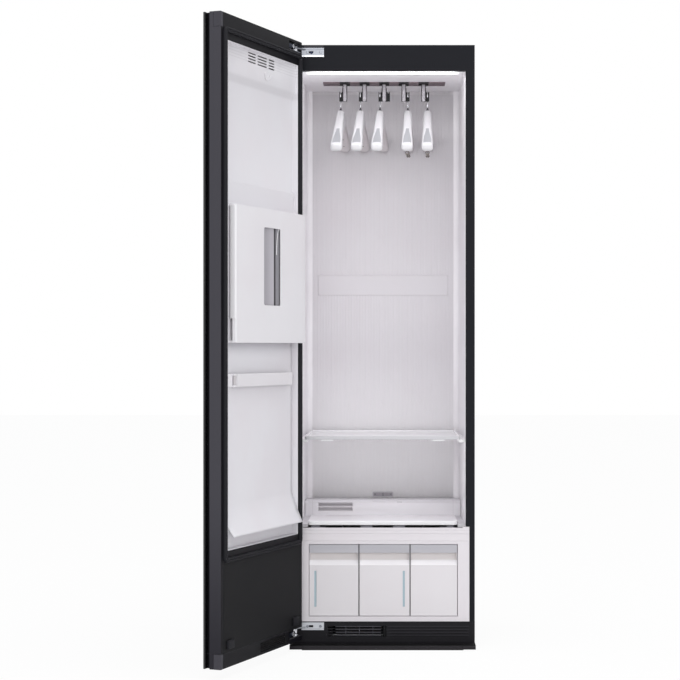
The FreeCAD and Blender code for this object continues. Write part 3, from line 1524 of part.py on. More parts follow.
heads = []
for floor, low, high in levels:
    for place in (s.hinge_screw_near, s.hinge_screw_far):
        head = polygon(s.hinge_plate_left + place, (low + high) / 2, s.hinge_screw_head,
                       SIZES["hinge_screw_flats"])
        heads.append(prism("XZ", [head], -s.hinge_plate_wall - s.hinge_screw_height, -s.hinge_plate_wall))
node("hinge_screws", group(*heads))

links = []
for floor, low, high in levels:
    level = bracket_level(floor)
    wide_eye = s.hinge_eye
    waist = wide_eye * s.link_waist
    strip = box((-waist, waist), (-s.hinge_link, 0), (level, level + s.hinge_link_wall))
    eyes = [rod("Z", (0, along, level), wide_eye, s.hinge_link_wall) for along in (0, -s.hinge_link)]
    bores = [rod("Z", (0, along, level - 1), s.hinge_pin + s.running, s.hinge_link_wall + 2)
             for along in (0, -s.hinge_link)]
    links.append(cut(fuse(strip, *eyes), *bores))
link_group = group(*links)
link_group.Placement = FreeCAD.Placement(FreeCAD.Vector(), FreeCAD.Rotation(FreeCAD.Vector(0, 0, -1), 1))
bind(link_group, "Placement.Base.x", pivot_a[0])
bind(link_group, "Placement.Base.y", pivot_a[1])
bind(link_group, "Placement.Rotation.Angle", swing)
node("hinge_links", link_group)

local_b = (pivot_b[0] - closed_corner[0], pivot_b[1] - closed_corner[1])
brackets = []
for floor, low, high in levels:
    seat = body_back + s.strap_seat
    strap = prism("XY", [[(s.strap_start, -s.strap_outer), (s.strap_start, seat), (s.strap_bend, seat),
                          (s.strap_bend, -s.strap_inner), (s.strap_end, -s.strap_inner),
                          (s.strap_end, -s.strap_outer)]], floor, floor + s.hinge_bracket_wall)
    pin = rod("Z", local_b + (floor + s.hinge_bracket_wall - 1,), s.hinge_pin, s.hinge_link_wall + 1)
    brackets.append(fuse(strap, pin))
on_door("door_hinge_brackets", group(*brackets))

# ---- machine compartment ----------------------------------------------------------------------
# Plain shapes of what works behind the tanks and above the ceiling; nobody sees them.

flats = SIZES["can_flats"]
small_flats = SIZES["small_can_flats"]


def pipe(u, v, radius):
    return polygon(u, v, radius, SIZES["pipe_flats"])


boiler_y = base_back - s.boiler_radius - s.boiler_back_gap
compressor_half = s.compressor_radius + s.compressor_flange
compressor_y = boiler_y - s.boiler_foot - s.compressor_gap - compressor_half
can_low = machine_floor + s.compressor_lift
can_top = machine_floor + s.compressor_height
lid_radius = s.compressor_radius - s.compressor_step
pipes = [prism("XY", [pipe(s.compressor_x + along, compressor_y, s.pipe_radius)],
               can_top - s.compressor_pipe_root, can_top + s.compressor_pipe_rise)
         for along in (-s.compressor_pipe_place, s.compressor_pipe_place)]
can = polygon(s.compressor_x, compressor_y, s.compressor_radius, flats)
can_lid = polygon(s.compressor_x, compressor_y, lid_radius, flats)
unit = fuse(prism("XY", [can], can_low, can_top - s.compressor_lid),
            prism("XY", [can_lid], can_top - s.compressor_lid - 1, can_top),
            box((s.compressor_x - compressor_half, s.compressor_x + compressor_half),
                (compressor_y - lid_radius, compressor_y + lid_radius),
                (machine_floor, machine_floor + s.compressor_foot)),
            *pipes)
node("compressor", unit)


def coil(front):
    """Finned block with end plates and the tube ends that stand out of them."""
    left = s.coil_left
    right = left + s.coil_width
    low = machine_floor + s.coil_tray
    block = prism("XZ", [rectangle((left, right), (low, low + s.coil_height))], front, front + s.coil_depth)
    pitch = s.coil_width / (s.fin_count + 1)
    gap = pocket(block, "XZ", [rectangle((left + pitch * s.fin_share, left + pitch),
                                         (low + s.fin_border, low + s.coil_height - s.fin_border))],
                 front - 1, front + s.coil_depth - s.fin_depth_gap)
    repeat(block, gap, "X", (s.fin_count - 1) * pitch, s.fin_count)
    tubes = [prism("YZ", [pipe(front + s.coil_depth / 2, low + s.tube_low + step * s.tube_pitch,
                               s.pipe_radius)],
                   left - s.tube_reach, left + s.tube_root)
             for step in range(SIZES["tube_count"])]
    return fuse(block, *tubes)


coil_front = bay_depth + s.coil_bay_gap
tray_back = coil_front + 2 * s.coil_depth + s.coil_gap
exchanger_tray = box((s.coil_left - s.tray_side, s.coil_left + s.coil_width + s.tray_side),
                     (coil_front - s.tray_border, tray_back + s.tray_border),
                     (machine_floor, machine_floor + s.coil_tray))
node("heat_exchangers", group(coil(coil_front), coil(coil_front + s.coil_depth + s.coil_gap), exchanger_tray))

# Centrifugal fan: a scroll with a round inlet in front, and the wheel on its motor's shaft.
shell_radius = s.fan_radius + s.fan_gap
fan_back = base_back - s.fan_back_gap - s.fan_motor
fan_front = fan_back - s.fan_width - 2 * s.fan_shell - s.fan_clear
fan_span = (fan_front, fan_back)
mouth_top = s.fan_z + shell_radius + s.fan_mouth_rise
legs = [box(span, fan_span, (machine_floor, s.fan_z))
        for span in ((s.fan_x - s.fan_leg_far, s.fan_x - s.fan_leg_near),
                     (s.fan_x + s.fan_leg_near, s.fan_x + s.fan_leg_far))]
scroll = fuse(prism("XZ", [polygon(s.fan_x, s.fan_z, shell_radius, flats)], *fan_span),
              box((s.fan_x - shell_radius, s.fan_x), fan_span, (s.fan_z, mouth_top)), *legs)
chamber = prism("XZ", [polygon(s.fan_x, s.fan_z, shell_radius - s.fan_shell, flats)],
                fan_front + s.fan_shell, fan_back - s.fan_shell)
duct = box((s.fan_x - shell_radius + s.fan_shell, s.fan_x - s.fan_duct_inset),
           (fan_front + s.fan_shell, fan_back - s.fan_shell), (s.fan_z, mouth_top + 1))
inlet = prism("XZ", [polygon(s.fan_x, s.fan_z, s.fan_radius - s.fan_inlet_step, flats)],
              fan_front - 1, fan_front + s.fan_shell + 1)
motor_can = prism("XZ", [polygon(s.fan_x, s.fan_z, s.fan_motor_radius, flats)],
                  fan_back - 1, fan_back + s.fan_motor)
shaft_front = fan_front + s.fan_shell + s.fan_shaft_start
motor_shaft = rod("Y", (s.fan_x, shaft_front, s.fan_z), s.fan_shaft, fan_back - shaft_front)
node("fan_housing", fuse(cut(scroll, chamber, duct, inlet), motor_can, motor_shaft))

wheel_front = fan_front + s.fan_shell + s.fan_disc
wheel_back = wheel_front + s.fan_width
shaft_hole = (0, 0, s.fan_shaft + s.running)
wheel = doc.addObject("PartDesign::Body", "fan_wheel")
pad(wheel, "XZ", [polygon(0, 0, s.fan_radius, flats), shaft_hole], wheel_back - s.fan_disc, wheel_back)
pad(wheel, "XZ", [polygon(0, 0, s.fan_hub, flats), shaft_hole],
    wheel_front + s.fan_hub_step, wheel_back - s.blade_gap)
blade_root = s.fan_radius - s.blade_run
blade_end = s.fan_radius - s.blade_edge
blade = pad(wheel, "XZ", [[(blade_root, -s.blade_foot), (blade_end, s.blade_tip_low),
                           (blade_end, s.blade_tip_high), (blade_root, s.blade_foot_high)]],
            wheel_front, wheel_back - s.blade_gap)
blades_round = wheel.newObject("PartDesign::PolarPattern", "blades_round")
blades_round.Originals = [blade]
blades_round.Axis = (origin_part(wheel, "Y_Axis"), [""])
blades_round.Angle = 360
bind(blades_round, "Occurrences", s.fan_blades)
wheel.Tip = blades_round
bind(wheel, "Placement.Base.x", s.fan_x)
bind(wheel, "Placement.Base.z", s.fan_z)
node("fan_wheel", wheel)

boiler_z = machine_floor + s.boiler_lift
boiler_left = -half + s.boiler_inset
boiler_right = boiler_left + s.boiler_length
stand_span = (boiler_y - s.boiler_foot, boiler_y + s.boiler_foot)
stands = [box((start, start + s.boiler_stand), stand_span, (machine_floor, boiler_z))
          for start in (boiler_left + s.boiler_stand_inset,
                        boiler_right - s.boiler_stand_inset - s.boiler_stand)]
outlet = prism("XY", [pipe((boiler_left + boiler_right) / 2, boiler_y, s.boiler_outlet)],
               boiler_z, boiler_z + s.boiler_radius + s.boiler_outlet_rise)
boiler = prism("YZ", [polygon(boiler_y, boiler_z, s.boiler_radius, flats)], boiler_left, boiler_right)
node("steam_generator", fuse(boiler, outlet, *stands))

pump_y = tray_back + s.pump_gap
pump_base = machine_floor + s.pump_base
pumps = [fuse(box((place - s.pump_half, place + s.pump_half), (pump_y - s.pump_half, pump_y + s.pump_half),
                  (machine_floor, pump_base)),
              prism("XY", [polygon(place, pump_y, s.pump_radius, small_flats)],
                    pump_base - 1, machine_floor + s.pump_height),
              prism("XZ", [pipe(place, machine_floor + s.pump_pipe_level, s.pipe_radius)],
                    pump_y + s.pump_half - 1, pump_y + s.pump_pipe_reach))
         for place in (s.pump_near, s.pump_far)]
node("pumps", group(*pumps))

board_left = -half + s.control_inset
board_face = board_left + s.control_wall
control = fuse(box((board_left, board_face), (s.control_front, s.control_back),
                   (machine_floor, machine_floor + s.control_height)),
               box((board_face - 1, board_face - 1 + s.relay_wall), (s.relay_front, s.relay_back),
                   (machine_floor + s.relay_low, machine_floor + s.relay_high)),
               box((board_face - 1, board_face - 1 + s.plug_wall), (s.plug_front, s.plug_back),
                   (machine_floor + s.plug_low, machine_floor + s.plug_high)))
node("control_box", control)

motor_x = s.hook_offset + s.motor_place
motor_y = cover_back + s.motor_gap
flange_side, flange_run = s.motor_flange_width / 2, s.motor_flange_depth / 2
motor = fuse(box((motor_x - flange_side, motor_x + flange_side), (motor_y - flange_run, motor_y + flange_run),
                 (ceiling_top, ceiling_top + s.motor_flange)),
             prism("XY", [polygon(motor_x, motor_y, s.motor_radius, flats)],
                   ceiling_top + s.motor_flange - 1, ceiling_top + s.motor_height),
             prism("XY", [polygon(motor_x, motor_y, s.motor_neck, small_flats)],
                   ceiling_top + s.motor_height - 1, ceiling_top + s.motor_neck_height))
node("hook_motor", motor)

# ---- check and write --------------------------------------------------------------------------

doc.recompute()
for item in doc.Objects:
    if "Invalid" in item.State or "Error" in item.State:
        raise ValueError("%s (%s) did not build: %s" % (item.Name, item.Label, item.State))
os.makedirs("parts", exist_ok=True)
for label, item in nodes.items():
    shape = item.Shape
    if shape.isNull() or not shape.isValid() or not shape.Solids:
        raise ValueError(label + " has no sound shape")
    shape.exportStep("parts/%s.step" % label)
print(len(nodes), "nodes")
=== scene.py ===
import json
import math

import bmesh
import bpy
from mathutils import Matrix, Vector

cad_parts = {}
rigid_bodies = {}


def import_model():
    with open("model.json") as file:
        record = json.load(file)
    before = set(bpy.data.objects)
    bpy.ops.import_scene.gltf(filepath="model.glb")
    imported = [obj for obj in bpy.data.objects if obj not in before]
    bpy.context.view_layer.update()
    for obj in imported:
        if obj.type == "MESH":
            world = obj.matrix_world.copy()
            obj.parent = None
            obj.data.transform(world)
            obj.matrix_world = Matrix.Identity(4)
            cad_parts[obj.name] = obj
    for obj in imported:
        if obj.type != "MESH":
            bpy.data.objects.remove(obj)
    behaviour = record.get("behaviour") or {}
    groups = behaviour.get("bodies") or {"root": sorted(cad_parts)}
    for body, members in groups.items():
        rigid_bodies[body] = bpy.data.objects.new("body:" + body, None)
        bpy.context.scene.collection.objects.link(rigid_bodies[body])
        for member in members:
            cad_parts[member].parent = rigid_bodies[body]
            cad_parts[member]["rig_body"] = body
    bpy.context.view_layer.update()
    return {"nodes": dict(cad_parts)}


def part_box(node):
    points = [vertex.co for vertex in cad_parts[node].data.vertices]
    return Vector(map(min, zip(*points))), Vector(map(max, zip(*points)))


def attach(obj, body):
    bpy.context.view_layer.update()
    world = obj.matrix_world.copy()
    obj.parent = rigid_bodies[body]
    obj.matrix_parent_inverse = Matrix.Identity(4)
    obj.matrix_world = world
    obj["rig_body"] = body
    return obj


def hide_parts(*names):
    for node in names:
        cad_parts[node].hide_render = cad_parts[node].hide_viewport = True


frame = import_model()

# ---- camera ----
# A long lens at the height of the cabinet's middle, square to its front, far enough back for the
# open door and the whole case to stand in the frame.

FRAME_WIDTH = 680
FOCAL_PIXELS = 1784.52
AXIS_PIXEL = (386.59, 347.54)
SENSOR = 36.0
EYE = (0.01274, -5.81162, 0.97462)


def show(name, data):
    """Puts data in the scene as a new object."""
    made = bpy.data.objects.new(name, data)
    bpy.context.scene.collection.objects.link(made)
    return made


camera = show("camera", bpy.data.cameras.new("camera"))
camera.location = EYE
camera.rotation_euler = (math.pi / 2, 0, 0)
camera.data.sensor_fit = "HORIZONTAL"
camera.data.sensor_width = SENSOR
camera.data.lens = FOCAL_PIXELS / FRAME_WIDTH * SENSOR
camera.data.shift_x = (FRAME_WIDTH / 2 - AXIS_PIXEL[0]) / FRAME_WIDTH
camera.data.shift_y = (AXIS_PIXEL[1] - FRAME_WIDTH / 2) / FRAME_WIDTH
camera.data.clip_end = 50
bpy.context.scene.camera = camera
bpy.context.scene.view_settings.view_transform = "Standard"

# ---- floor, backdrop and lamps ----
# A white studio floor and a white surround, with one wide soft lamp in front, two at the sides
# and one above. A finish is one material: numbers that vary over it add up as plain arithmetic.


class Reading:
    """A number that varies over a surface; arithmetic on it adds Math nodes to its tree."""

    def __init__(self, tree, socket):
        self.tree = tree
        self.socket = socket

    def reckon(self, operation, *terms):
        return self.tree.node("Math", {"operation": operation}, dict(enumerate(terms)))

    def __add__(self, other):
        return self.reckon("ADD", self, other)

    __radd__ = __add__

    def __sub__(self, other):
        return self.reckon("SUBTRACT", self, other)

    def __rsub__(self, other):
        return self.reckon("SUBTRACT", other, self)

    def __mul__(self, other):
        return self.reckon("MULTIPLY", self, other)

    __rmul__ = __mul__

    def __truediv__(self, other):
        return self.reckon("DIVIDE", self, other)

    def __mod__(self, other):
        return self.reckon("FLOORED_MODULO", self, other)

    def __abs__(self):
        return self.reckon("ABSOLUTE", self)

    def over(self, low, high):
        """0 below low, 1 above high, and smooth between."""
        return self.tree.node("MapRange", {"interpolation_type": "SMOOTHSTEP"}, {0: self, 1: low, 2: high})

    def within(self, low, high, soft=0.0006):
        """1 between low and high, with soft edges."""
        return self.over(low - soft, low + soft) * (1 - self.over(high - soft, high + soft))

    def near(self, spot, low, high):
        """1 up to low metres off spot, 0 from high metres off, and smooth between."""
        return 1 - abs(self - spot).over(low, high)

    def off_middle(self, start, pitch):
        """Distance from the middle of its step, for steps of one pitch that count from start."""
        return abs((self - start) % pitch - pitch / 2)


class NodeTree:
    """Adds nodes to one tree; PREFIXES gives the families of nodes that it is built from."""

    PREFIXES = {}
    FAMILY = "ShaderNode"

    def __init__(self, tree):
        self.tree = tree

    def node(self, kind, settings, values, output=0):
        """Adds a node: settings, then values or links. Gives one output, several, or the node."""
        made = self.tree.nodes.new(self.PREFIXES.get(kind, self.FAMILY) + kind)
        for key, setting in settings.items():
            setattr(made, key, setting)
        for key, value in values.items():
            if isinstance(value, Reading):
                self.tree.links.new(value.socket, made.inputs[key])
            else:
                made.inputs[key].default_value = value
        if isinstance(output, tuple):
            return [Reading(self, made.outputs[key]) for key in output]
        return made if output is None else Reading(self, made.outputs[output])


class Finish(NodeTree):
    """One procedural material; colour is what paint() covers, and starts as the same all over."""

    def __init__(self, name, colour, **surface):
        self.material = bpy.data.materials.new(name)
        self.material.use_nodes = True
        super().__init__(self.material.node_tree)
        self.tree.nodes.clear()
        self.colour = colour
        values = {key.replace("_", " "): value for key, value in surface.items()}
        self.shader = self.node("BsdfPrincipled", {}, {"Base Color": colour, **values})
        self.end = self.node("OutputMaterial", {}, {"Surface": self.shader}, None)
        self.at = self.node("TexCoord", {}, {}, "Object")

    def feed(self, **links):
        """Links readings to the shader's sockets: feed(Base_Color=..., Roughness=...)."""
        for key, reading in links.items():
            self.tree.links.new(reading.socket, self.shader.socket.node.inputs[key.replace("_", " ")])
        return self

    def axis(self, letter):
        return self.node("SeparateXYZ", {}, {0: self.at}, letter)

    def noise(self, size, stretch=(1, 1, 1), detail=2.0):
        """Soft spots about size metres across, drawn out by stretch."""
        place = self.node("Mapping", {}, {"Vector": self.at, "Scale": [1 / (size * k) for k in stretch]})
        return self.node("TexNoise", {}, {"Vector": place, "Scale": 1.0, "Detail": detail})

    def mix(self, mask, under, over):
        """Goes from under to over, which are readings, colours or screen colours."""
        under, over = [tint(colour) if isinstance(colour, str) else colour for colour in (under, over)]
        return self.node("Mix", {"data_type": "RGBA"}, {0: mask, 6: under, 7: over}, 2)

    def varied(self, mask, low, high):
        """The colour times low where mask is 0, and times high where it is 1."""
        return self.mix(mask, shade(self.colour, low), shade(self.colour, high))

    def paint(self, mask, over):
        """Covers the colour with another one where mask is 1."""
        self.colour = self.mix(mask, self.colour, over)
        return self.feed(Base_Color=self.colour)

    def relief(self, height, depth):
        """Raises the surface by height, 0 to 1, times depth in metres."""
        return self.feed(Normal=self.node("Bump", {}, {"Height": height, "Distance": depth}))


def tint(code):
    """Linear colour of a six-digit screen colour."""
    parts = [int(code[at:at + 2], 16) / 255 for at in (0, 2, 4)]
    return [p / 12.92 if p <= 0.04045 else ((p + 0.055) / 1.055) ** 2.4 for p in parts] + [1.0]


def shade(colour, share):
    """The colour times share."""
    return [c * share for c in colour[:3]] + [1.0]


def seen_white(tree, plain, share, gloss):
    """Mixes white into a shader for the camera and through glass, and less for what gloss shows."""
    kit = NodeTree(tree)
    rays = ("Is Camera Ray", "Is Transmission Ray", "Is Glossy Ray")
    seen, through, mirrored = kit.node("LightPath", {}, {}, rays)
    white = kit.node("Emission", {}, {"Color": (1, 1, 1, 1)})
    return kit.node("MixShader", {}, {0: (seen + through) * share + mirrored * gloss, 1: plain, 2: white})


FLOOR_SIZE = 40.0
AMBIENT = 0.76

floor_finish = Finish("studio_floor", (0.92, 0.92, 0.92, 1), Roughness=0.9, Specular_IOR_Level=0.0)
floor_seen = seen_white(floor_finish.tree, floor_finish.shader, share=0.93, gloss=0.1)
floor_finish.tree.links.new(floor_seen.socket, floor_finish.end.inputs["Surface"])
floor_mesh = bpy.data.meshes.new("studio_floor")
floor_mesh.from_pydata([(x * FLOOR_SIZE / 2, y * FLOOR_SIZE / 2, 0)
                        for x, y in ((-1, -1), (1, -1), (1, 1), (-1, 1))], [], [(0, 1, 2, 3)])
floor_mesh.materials.append(floor_finish.material)
floor = show("studio_floor", floor_mesh)

world = bpy.data.worlds.new("studio_air")
world.use_nodes = True
world.node_tree.nodes.clear()
sky = NodeTree(world.node_tree)
ambient = sky.node("Background", {}, {"Color": (0.985, 0.985, 1.0, 1), "Strength": AMBIENT})
sky.node("OutputWorld", {}, {0: seen_white(sky.tree, ambient, share=1.0, gloss=0.25)}, None)
bpy.context.scene.world = world


def lamp(name, place, target, width, power, height=None):
    """An area light at place that faces target; it is square where no height is given."""
    light = bpy.data.lights.new(name, "AREA")
    light.shape = "RECTANGLE"
    light.size = width
    light.size_y = height or width
    light.energy = power
    made = show(name, light)
    made.location = place
    made.rotation_euler = (Vector(target) - Vector(place)).to_track_quat("-Z", "Y").to_euler()


lamp("lamp_front", (0.35, -6.6, 1.5), (0, 0, 1.0), width=3.0, power=50)
lamp("lamp_left", (-1.5, -5.6, 2.5), (0.1, 0, 1.0), width=2.4, power=40)
lamp("lamp_right", (3.0, -5.0, 2.2), (-0.2, 0, 1.0), width=2.4, power=26)
lamp("lamp_above", (0.2, -0.8, 4.6), (0, 0.2, 0.9), width=2.6, power=50)

# ---- outer case ----
# Folded steel sides and top with a fine powder coat, on a zinc-plated base frame and rear panel.
# Pan-head screws hold the sheets together from the rear; four rubber feet level the cabinet.


def dress(finish, *names):
    """Gives CAD nodes their finish."""
    for name in names:
        for place in frame["nodes"][name].material_slots:
            place.material = finish.material


def place_piece(name, mesh, body, finish, turn=None):
    """Puts a finished mesh in the scene as a piece that moves with a body."""
    mesh.name = name
    if turn is not None:
        mesh.transform(turn)
    mesh.materials.clear()
    mesh.materials.append(finish.material)
    piece = show(name, mesh)
    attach(piece, body)
    return piece


def settled(piece):
    """The piece with its modifiers worked into a plain mesh."""
    bpy.context.view_layer.update()
    done = bpy.data.meshes.new_from_object(piece.evaluated_get(bpy.context.evaluated_depsgraph_get()))
    piece.modifiers.clear()
    old = piece.data
    piece.data = done
    bpy.data.meshes.remove(old)
    return piece


class Pattern(NodeTree):
    """A geometry tree with named sizes, for what repeats or follows a path."""

    PREFIXES = {"Math": "ShaderNode", "CombineXYZ": "ShaderNode", "SeparateXYZ": "ShaderNode",
                "AlignRotationToVector": "FunctionNode", "GroupInput": "Node", "GroupOutput": "Node"}
    FAMILY = "GeometryNode"

    def __init__(self, name, **sizes):
        super().__init__(bpy.data.node_groups.new(name, "GeometryNodeTree"))
        face = self.tree.interface
        face.new_socket("Geometry", in_out="INPUT", socket_type="NodeSocketGeometry")
        self.keys = {}
        kinds = {int: "NodeSocketInt", float: "NodeSocketFloat", tuple: "NodeSocketVector"}
        for key, size in sizes.items():
            socket = face.new_socket(key, in_out="INPUT", socket_type=kinds[type(size)])
            socket.default_value = size
            self.keys[key] = socket.identifier
        socket = face.new_socket("finish", in_out="INPUT", socket_type="NodeSocketMaterial")
        self.keys["finish"] = socket.identifier
        face.new_socket("Geometry", in_out="OUTPUT", socket_type="NodeSocketGeometry")
        given = self.node("GroupInput", {}, {}, None)
        self.start = Reading(self, given.outputs["Geometry"])
        self.size = {key: Reading(self, given.outputs[key]) for key in self.keys}

    def close(self, shape):
        """Ends the tree in plain faces with their finish."""
        solid = self.node("RealizeInstances", {}, {0: shape})
        finished = self.node("SetMaterial", {}, {"Geometry": solid, "Material": self.size["finish"]})
        self.node("GroupOutput", {}, {0: finished}, None)

    def make(self, name, start, body, finish, slot, turn=None, **sizes):
        """Runs the tree on a start mesh and keeps the result as one plain piece."""
        piece = show(name, start)
        worker = piece.modifiers.new("pattern", "NODES")
        worker.node_group = self.tree
        for key, size in sizes.items():
            worker[self.keys[key]] = size
        worker[self.keys["finish"]] = finish.material
        made = settled(piece).data
        bpy.data.objects.remove(piece)
        return place_piece(name, made, body, finish, turn)


def marks(spots, facing=(0, 0, 1)):
    """A mesh of single points, each with the way that what stands on it faces."""
    mesh = bpy.data.meshes.new("marks")
    mesh.from_pydata([tuple(c / 1000 for c in spot) for spot in spots], [], [])
    way = mesh.attributes.new("facing", "FLOAT_VECTOR", "POINT")
    for number in range(len(spots)):
        way.data[number].vector = facing
    return mesh


def drawn_out(tree, mesh, faces, offset):
    """Extrudes faces by offset, and gives the new mesh and the faces' new place."""
    values = {"Mesh": mesh, "Selection": faces, "Offset Scale": offset, "Individual": False}
    return tree.node("ExtrudeMesh", {"mode": "FACES"}, values, ("Mesh", "Top"))


SCREW_SIDES = 18
DOME_RISE, DOME_SCALE, DRIVE_DEPTH = 0.25, 0.78, 0.7

screws = Pattern("screws", head=0.004, height=0.0018, drive=0.5)
screw, upper = screws.node("MeshCylinder", {}, {"Vertices": SCREW_SIDES, "Radius": screws.size["head"],
                                                "Depth": screws.size["height"]}, ("Mesh", "Top"))
for rise, narrowed in ((DOME_RISE, DOME_SCALE), (0.0, screws.size["drive"])):
    screw, upper = drawn_out(screws, screw, upper, screws.size["height"] * rise)
    screw = screws.node("ScaleElements", {"domain": "FACE"},
                        {"Geometry": screw, "Selection": upper, "Scale": narrowed})
screw, upper = drawn_out(screws, screw, upper, screws.size["height"] * -DRIVE_DEPTH)
faces_to = screws.node("InputNamedAttribute", {"data_type": "FLOAT_VECTOR"}, {"Name": "facing"})
stand = screws.node("AlignRotationToVector", {"axis": "Z"}, {"Vector": faces_to})
screws.close(screws.node("InstanceOnPoints", {}, {"Points": screws.start, "Instance": screw,
                                                  "Rotation": stand}))


def powder_coat(name, code, roughness, texture=0.00005):
    """Baked powder coat: a fine orange peel, and a sheen that wanders a little."""
    coat = Finish(name, tint(code), Specular_IOR_Level=0.32)
    cloud = coat.noise(0.35, detail=3.0)
    coat.feed(Base_Color=coat.varied(cloud.over(0.3, 0.7), 0.93, 1.07),
              Roughness=cloud * 0.08 + (roughness - 0.04))
    return coat.relief(coat.noise(0.0016), texture)


def zinc_sheet(name, code):
    """Bare zinc-plated sheet with its spangle and faint rolling lines."""
    sheet = Finish(name, tint(code), Metallic=0.85)
    crystals = sheet.node("TexVoronoi", {"feature": "F1"}, {"Vector": sheet.at, "Scale": 90.0}, "Color")
    grain = sheet.node("SeparateXYZ", {}, {0: crystals})
    rolled = sheet.noise(0.004, (1, 1, 30))
    sheet.feed(Base_Color=sheet.varied(grain, 0.86, 1.08), Roughness=grain * 0.16 + rolled * 0.1 + 0.3)
    return sheet.relief(rolled, 0.00004)


SCREW_ROWS = (60, 420, 780, 1140, 1500, 1860)
SCREW_SUNK = 0.6

case_coat = powder_coat("case_coat", "303136", 0.55)
rear_zinc = zinc_sheet("rear_zinc", "a9abad")
foot_rubber = powder_coat("foot_rubber", "242424", 0.8, 0.0002)
screw_zinc = zinc_sheet("screw_zinc", "8f9194")
dress(case_coat, "side_panel_left", "side_panel_right", "top_panel")
dress(rear_zinc, "back_panel", "base_frame")
dress(foot_rubber, "levelling_feet")
rear_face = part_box("back_panel")[1][1] * 1000 - SCREW_SUNK
rear_spots = [(x, rear_face, z) for x in (-291, 291) for z in SCREW_ROWS]
rear_spots += [(x, rear_face, z) for x in (-150, 0, 150) for z in (28, 1948)]
screws.make("rear_screws", marks(rear_spots, (0, 1, 0)), "cabinet", screw_zinc, "zinc_steel",
            head=0.0042, height=0.0007, drive=0.45)

# ---- front frame, kick panel and plinth ----
# Charcoal moulding round the opening, in one upside-down U, with a fine satin grain. The kick
# panel and the plinth under it are black plastic; bars cross the panel's air inlet.

SHARP, NEARLY_FLAT = 35, 0.6
DOUBLED = 2e-6


def own_shape(node):
    """A CAD node's own shape, with its doubled points joined."""
    shape = bmesh.new()
    shape.from_mesh(frame["nodes"][node].data)
    bmesh.ops.remove_doubles(shape, verts=shape.verts, dist=DOUBLED)
    return shape


def smooth_mesh(shape, sharp=180):
    """The shape as a smooth mesh, but for its edges over so many degrees."""
    mesh = bpy.data.meshes.new("smooth")
    shape.to_mesh(mesh)
    shape.free()
    mesh.shade_smooth()
    if sharp < 180:
        mesh.set_sharp_from_angle(angle=math.radians(sharp))
    return mesh


def eased(node, finish, radius, steps=2):
    """A CAD node's own shape with its sharp edges rounded, which stands for the node."""
    shape = own_shape(node)
    bmesh.ops.dissolve_limit(shape, angle_limit=math.radians(NEARLY_FLAT), verts=shape.verts,
                             edges=shape.edges)
    body = frame["nodes"][node]["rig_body"]
    piece = place_piece(node + "_eased", smooth_mesh(shape, SHARP), body, finish)
    bevel = piece.modifiers.new("rounding", "BEVEL")
    bevel.width = radius
    bevel.segments = steps
    bevel.limit_method = "ANGLE"
    bevel.angle_limit = math.radians(SHARP)
    bevel.harden_normals = True
    settled(piece)
    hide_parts(node)
    return piece


def satin_black(name, code, roughness, grain=0.00004):
    """Dark moulding with a fine spark-eroded grain; what is painted on it covers its cloud."""
    black = Finish(name, tint(code), Specular_IOR_Level=0.14)
    cloud = black.noise(0.2, detail=3.0)
    black.feed(Base_Color=black.varied(cloud.over(0.3, 0.7), 0.92, 1.08),
               Roughness=cloud * 0.1 + (roughness - 0.05))
    return black.relief(black.noise(0.0007, detail=1.0), grain)


bars = Pattern("bars", count=4, step=(0.0, 0.0, 0.01), bar=(0.1, 0.003, 0.003))
row = bars.node("MeshLine", {"mode": "OFFSET"}, {"Count": bars.size["count"], "Offset": bars.size["step"]})
bar_shape = bars.node("MeshCube", {}, {"Size": bars.size["bar"]})
places = bars.node("InstanceOnPoints", {}, {"Points": bars.start, "Instance": row})
spread = bars.node("RealizeInstances", {}, {0: places})
bars.close(bars.node("InstanceOnPoints", {}, {"Points": spread, "Instance": bar_shape}))

STRIP_X, STRIP_Z = (-0.256, -0.193), (1.9505, 1.9585)
INLET_X, INLET_Z = (0.015, 0.282), (0.034, 0.070)
SLATS_FROM, SLAT_PITCH = 0.0375, 0.0096
PLINTH_SEAM = 0.257

charcoal = satin_black("charcoal_moulding", "13141a", 0.52)
strip = charcoal.axis("X").within(*STRIP_X) * charcoal.axis("Z").within(*STRIP_Z)
charcoal.paint(strip, "37363b")
kick_black = satin_black("kick_black", "1a191d", 0.5)
ribbed = kick_black.axis("X").within(*INLET_X) * kick_black.axis("Z").within(*INLET_Z)
ribbed = ribbed * kick_black.axis("Z").off_middle(SLATS_FROM, SLAT_PITCH).over(0.0026, 0.0042)
kick_black.paint(ribbed, "2c2b30")
plinth_brown = satin_black("plinth_brown", "29272a", 0.6)
# Painted shadow: the plinth's top face is painted dark, nearly black towards its front.
shaded_top = plinth_brown.axis("Z") - (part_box("plinth")[1][2] - 0.0022)
ahead = 1 - plinth_brown.axis("Y").over(-0.066, -0.012)
plinth_brown.paint(shaded_top.over(0.0012, 0.0018), plinth_brown.mix(ahead, "161518", "030303"))
plinth_brown.paint(abs(plinth_brown.axis("X")).near(PLINTH_SEAM, 0.0006, 0.0014), "0e0d0f")
slat_grey = satin_black("slat_grey", "4b4a50", 0.5)
eased("front_frame", charcoal, 0.0008)
dress(kick_black, "kick_panel")
eased("plinth", plinth_brown, 0.0006)
one_up = (0.0, 0.0, SLAT_PITCH)
for name, spot, finish, count, step, bar in (
        ("kick_slats", (-79, 0.6, 37.5), slat_grey, 4, one_up, (0.148, 0.003, 0.0024)),
        ("kick_dividers", (-120, 0.4, 52), slat_grey, 3, (0.044, 0.0, 0.0), (0.0016, 0.002, 0.034)),
        ("kick_side_slats", (-170, 0.4, 38.5), kick_black, 4, one_up, (0.016, 0.003, 0.0026))):
    bars.make(name, marks([spot]), "cabinet", finish, "dark_plastic", count=count, step=step, bar=bar)

